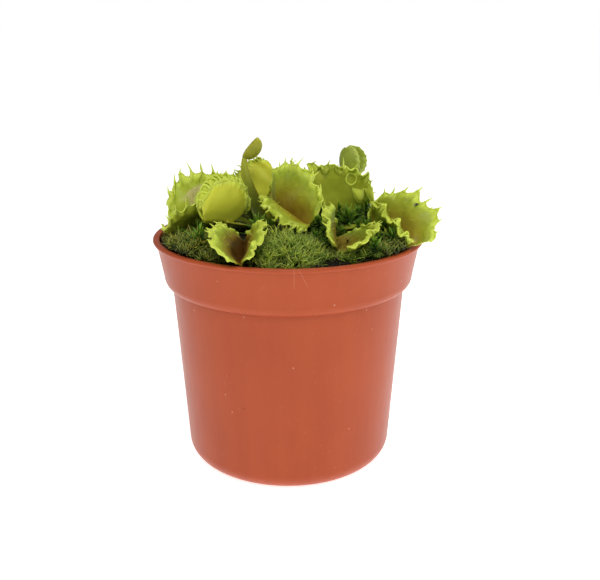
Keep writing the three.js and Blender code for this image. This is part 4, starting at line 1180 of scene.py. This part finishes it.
def add_star(shape, x, y, top, spread, rng, tree, count=STAR_LEAVES):
    """A shoot of star moss: narrow pointed leaves that rise from low and flat to upright."""
    foot = float(peat_height(x, y)) - STAR_ROOT_DEPTH
    crown = top - STAR_TIP
    stem = [circle(8) * 0.5 + (x, y, z) for z in np.linspace(foot, crown, 10)]
    tube(shape, stem, along=0.1, tint=0.3)
    rank = np.arange(count) / (count - 1)
    angle = np.arange(count) * radians(STAR_TURN) + rng.normal(0, 0.15, count)
    low = max(foot + 3.5, crown - spread)
    root = np.array([x, y, 0]) + UP * (low + (crown - low) * rank ** 0.7)[:, None]
    rise = np.radians(-8 + 78 * rank ** 1.7 + rng.normal(0, 8, count))
    out = np.stack([np.cos(angle), np.sin(angle), np.zeros(count)], axis=-1)
    direction = out * np.cos(rise)[:, None] + UP * np.sin(rise)[:, None]
    length = spread * rng.uniform(0.85, 1.2, count) * (1 - 0.4 * rank ** 2)
    bend = UP * rng.uniform(-0.2, 0.15, count)[:, None] + rng.normal(0, 0.05, root.shape)
    for _ in range(7):
        reach = root + (direction + bend) * length[:, None]
        free = clear_of(tree, root + direction * 0.3, direction + bend, length) & inside_pot(reach)
        length = np.where(free, length, length * 0.72)
    across = np.cross(direction, UP + 0.01)
    needles(shape, root, direction, length, bend, across, 0.12 * length + 0.1, np.full(count, 0.1),
            4, 5, swell=0.35, tint=rng.random(count))


def make_stars(materials, tree):
    for index, (name, at, top, spread) in enumerate(STAR_MOSS):
        shape = Shape()
        add_star(shape, *at, top, spread * 1.15, np.random.default_rng(STAR_SEED + index), tree)
        shape.piece(f"star_moss_{name}_fine", materials["star_moss"], "star_moss", ["star_moss_" + name])


def make_star_scatter(materials, tree):
    """Lower star moss shoots, wherever there is room between the leaves and cushions."""
    rng = np.random.default_rng(SCATTER_SEED)
    shape = Shape()
    placed = [at for _, at, _, _ in STAR_MOSS]
    for x, y, top in TALL_STARS:
        placed.append((x, y))
        add_star(shape, x, y, top, 5.5, rng, tree)
    kept_free = STAR_FREE + [(at, radius + 2) for at, radius in HOLLOWS]
    for _ in range(STAR_TRIES):
        turn = rng.uniform(0, 2 * pi)
        out = np.sqrt(rng.random()) * (PEAT_RADIUS - 4)
        x, y = out * cos(turn), out * sin(turn)
        ground = float(peat_height(x, y))
        top = ground + rng.uniform(4, 8.5)
        spread = rng.uniform(3.2, 5)
        taken = min(hypot(x - a, y - b) for a, b in placed) < STAR_DISTANCE
        taken |= any(hypot(x - at[0], y - at[1]) < radius for at, radius in kept_free)
        taken |= any(hypot((x - moss.at[0]) / moss.radii[0], (y - moss.at[1]) / moss.radii[1])
                     < (0.97 if moss.slot == "bright_moss" else 0.5) for moss in MOSS)
        root = np.array([[x, y, ground - 1]])
        if taken or not clear_of(tree, root, UP[None], np.array([top - ground + 2.5]))[0]:
            continue
        placed.append((x, y))
        add_star(shape, x, y, top, spread, rng, tree, count=LOW_STAR_LEAVES)
    shape.piece("star_moss_scatter", materials["star_moss"], "star_moss")


# ---------------- stage

def place_in_scene(name, data, place):
    made = bpy.data.objects.new(name, data)
    made.location = [value * MM for value in place]
    bpy.context.scene.collection.objects.link(made)
    return made


def make_camera():
    data = bpy.data.cameras.new("camera")
    data.lens = CAMERA_LENS
    data.sensor_width = SENSOR_WIDTH
    data.clip_start = 0.01
    camera = place_in_scene("camera", data, CAMERA_PLACE)
    camera.rotation_euler = (radians(90 - CAMERA_PITCH), 0, radians(CAMERA_TURN))
    bpy.context.scene.camera = camera


def make_floor():
    paint = Paint("floor", 0.9, 0.0)
    pale = paint.ramp(paint.noise(200, 2), (0.3, (0.9, 0.9, 0.9)), (0.7, (0.92, 0.92, 0.92)))
    paint.give("Base Color", pale)
    paint.give("Emission Color", (1, 1, 1, 1))
    paint.give("Emission Strength", FLOOR_GLOW)
    mesh = bpy.data.meshes.new("floor")
    corners = [(FLOOR_HALF * x, FLOOR_HALF * y, 0) for x, y in ((-1, -1), (1, -1), (1, 1), (-1, 1))]
    mesh.from_pydata(corners, [], [(0, 1, 2, 3)])
    mesh.materials.append(paint.material)
    floor = place_in_scene("floor", mesh, (0, 0, 0))


def make_world():
    """A white background, and softer light from it that is weakest on the viewer's side."""
    world = bpy.data.worlds.new("studio")
    world.use_nodes = True
    tree = world.node_tree
    way = add_node(tree, "TexCoord").outputs["Generated"]
    away = add_node(tree, "SeparateXYZ", {"Vector": way}).outputs["Y"]
    spread = add_node(tree, "MapRange", {"Value": away, "From Min": -1, "From Max": 0.4,
                                         "To Min": SKY_FRONT, "To Max": SKY_BACK}).outputs["Result"]
    seen = add_node(tree, "LightPath").outputs["Is Camera Ray"]
    strength = add_node(tree, "Mix", {0: seen, 2: spread, 3: 1.0}).outputs[0]
    background = tree.nodes["Background"].inputs
    background["Color"].default_value = (1, 1, 1, 1)
    connect(tree, strength, background["Strength"])
    bpy.context.scene.world = world
    bpy.context.scene.view_settings.view_transform = "Standard"


def add_light(name, place, size, power):
    """A soft light that is turned toward the plants."""
    data = bpy.data.lights.new(name, "AREA")
    data.shape = "RECTANGLE"
    data.size, data.size_y = (value * MM for value in size)
    data.energy = power
    light = place_in_scene(name, data, place)
    light.rotation_euler = (Vector(LIGHT_AIM) - Vector(place)).to_track_quat("-Z", "Y").to_euler()


# ---------------- assembly

make_camera()
make_floor()
make_world()
for light in LIGHTS:
    add_light(*light)

materials = {
    "leaf": leaf_material("leaf", (0.40, 0.49, 0.042), (0.36, 0.35, 0.028), (0.66, 0.77, 0.09)),
    "young_leaf": leaf_material("young_leaf", (0.37, 0.43, 0.055), (0.33, 0.30, 0.03), (0.54, 0.64, 0.11)),
    "bright_moss": blade_material("bright_moss", (0.006, 0.014, 0.001), (0.175, 0.295, 0.018),
                                  (0.52, 0.66, 0.12)),
    "dark_moss": blade_material("dark_moss", (0.006, 0.008, 0.001), (0.09, 0.125, 0.012),
                                (0.44, 0.47, 0.08)),
    "star_moss": blade_material("star_moss", (0.012, 0.035, 0.003), (0.075, 0.19, 0.012), (0.22, 0.43, 0.04),
                                0.5, 0.2),
}

make_pot()
make_peat()
leaf_faces = leaf_tree([make_leaf(leaf, materials) for leaf in LEAVES])
for cushion in MOSS:
    make_cushion(cushion, materials, leaf_faces)
make_carpet(materials, leaf_faces)
make_wisps(materials, leaf_faces)
make_stars(materials, leaf_faces)
make_star_scatter(materials, leaf_faces)

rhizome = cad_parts["rhizome"]
rhizome.data.materials.clear()
rhizome.data.materials.append(rhizome_material())
rounding = rhizome.modifiers.new("rounding", "SUBSURF")
rounding.levels = 2
rounding.render_levels = 2
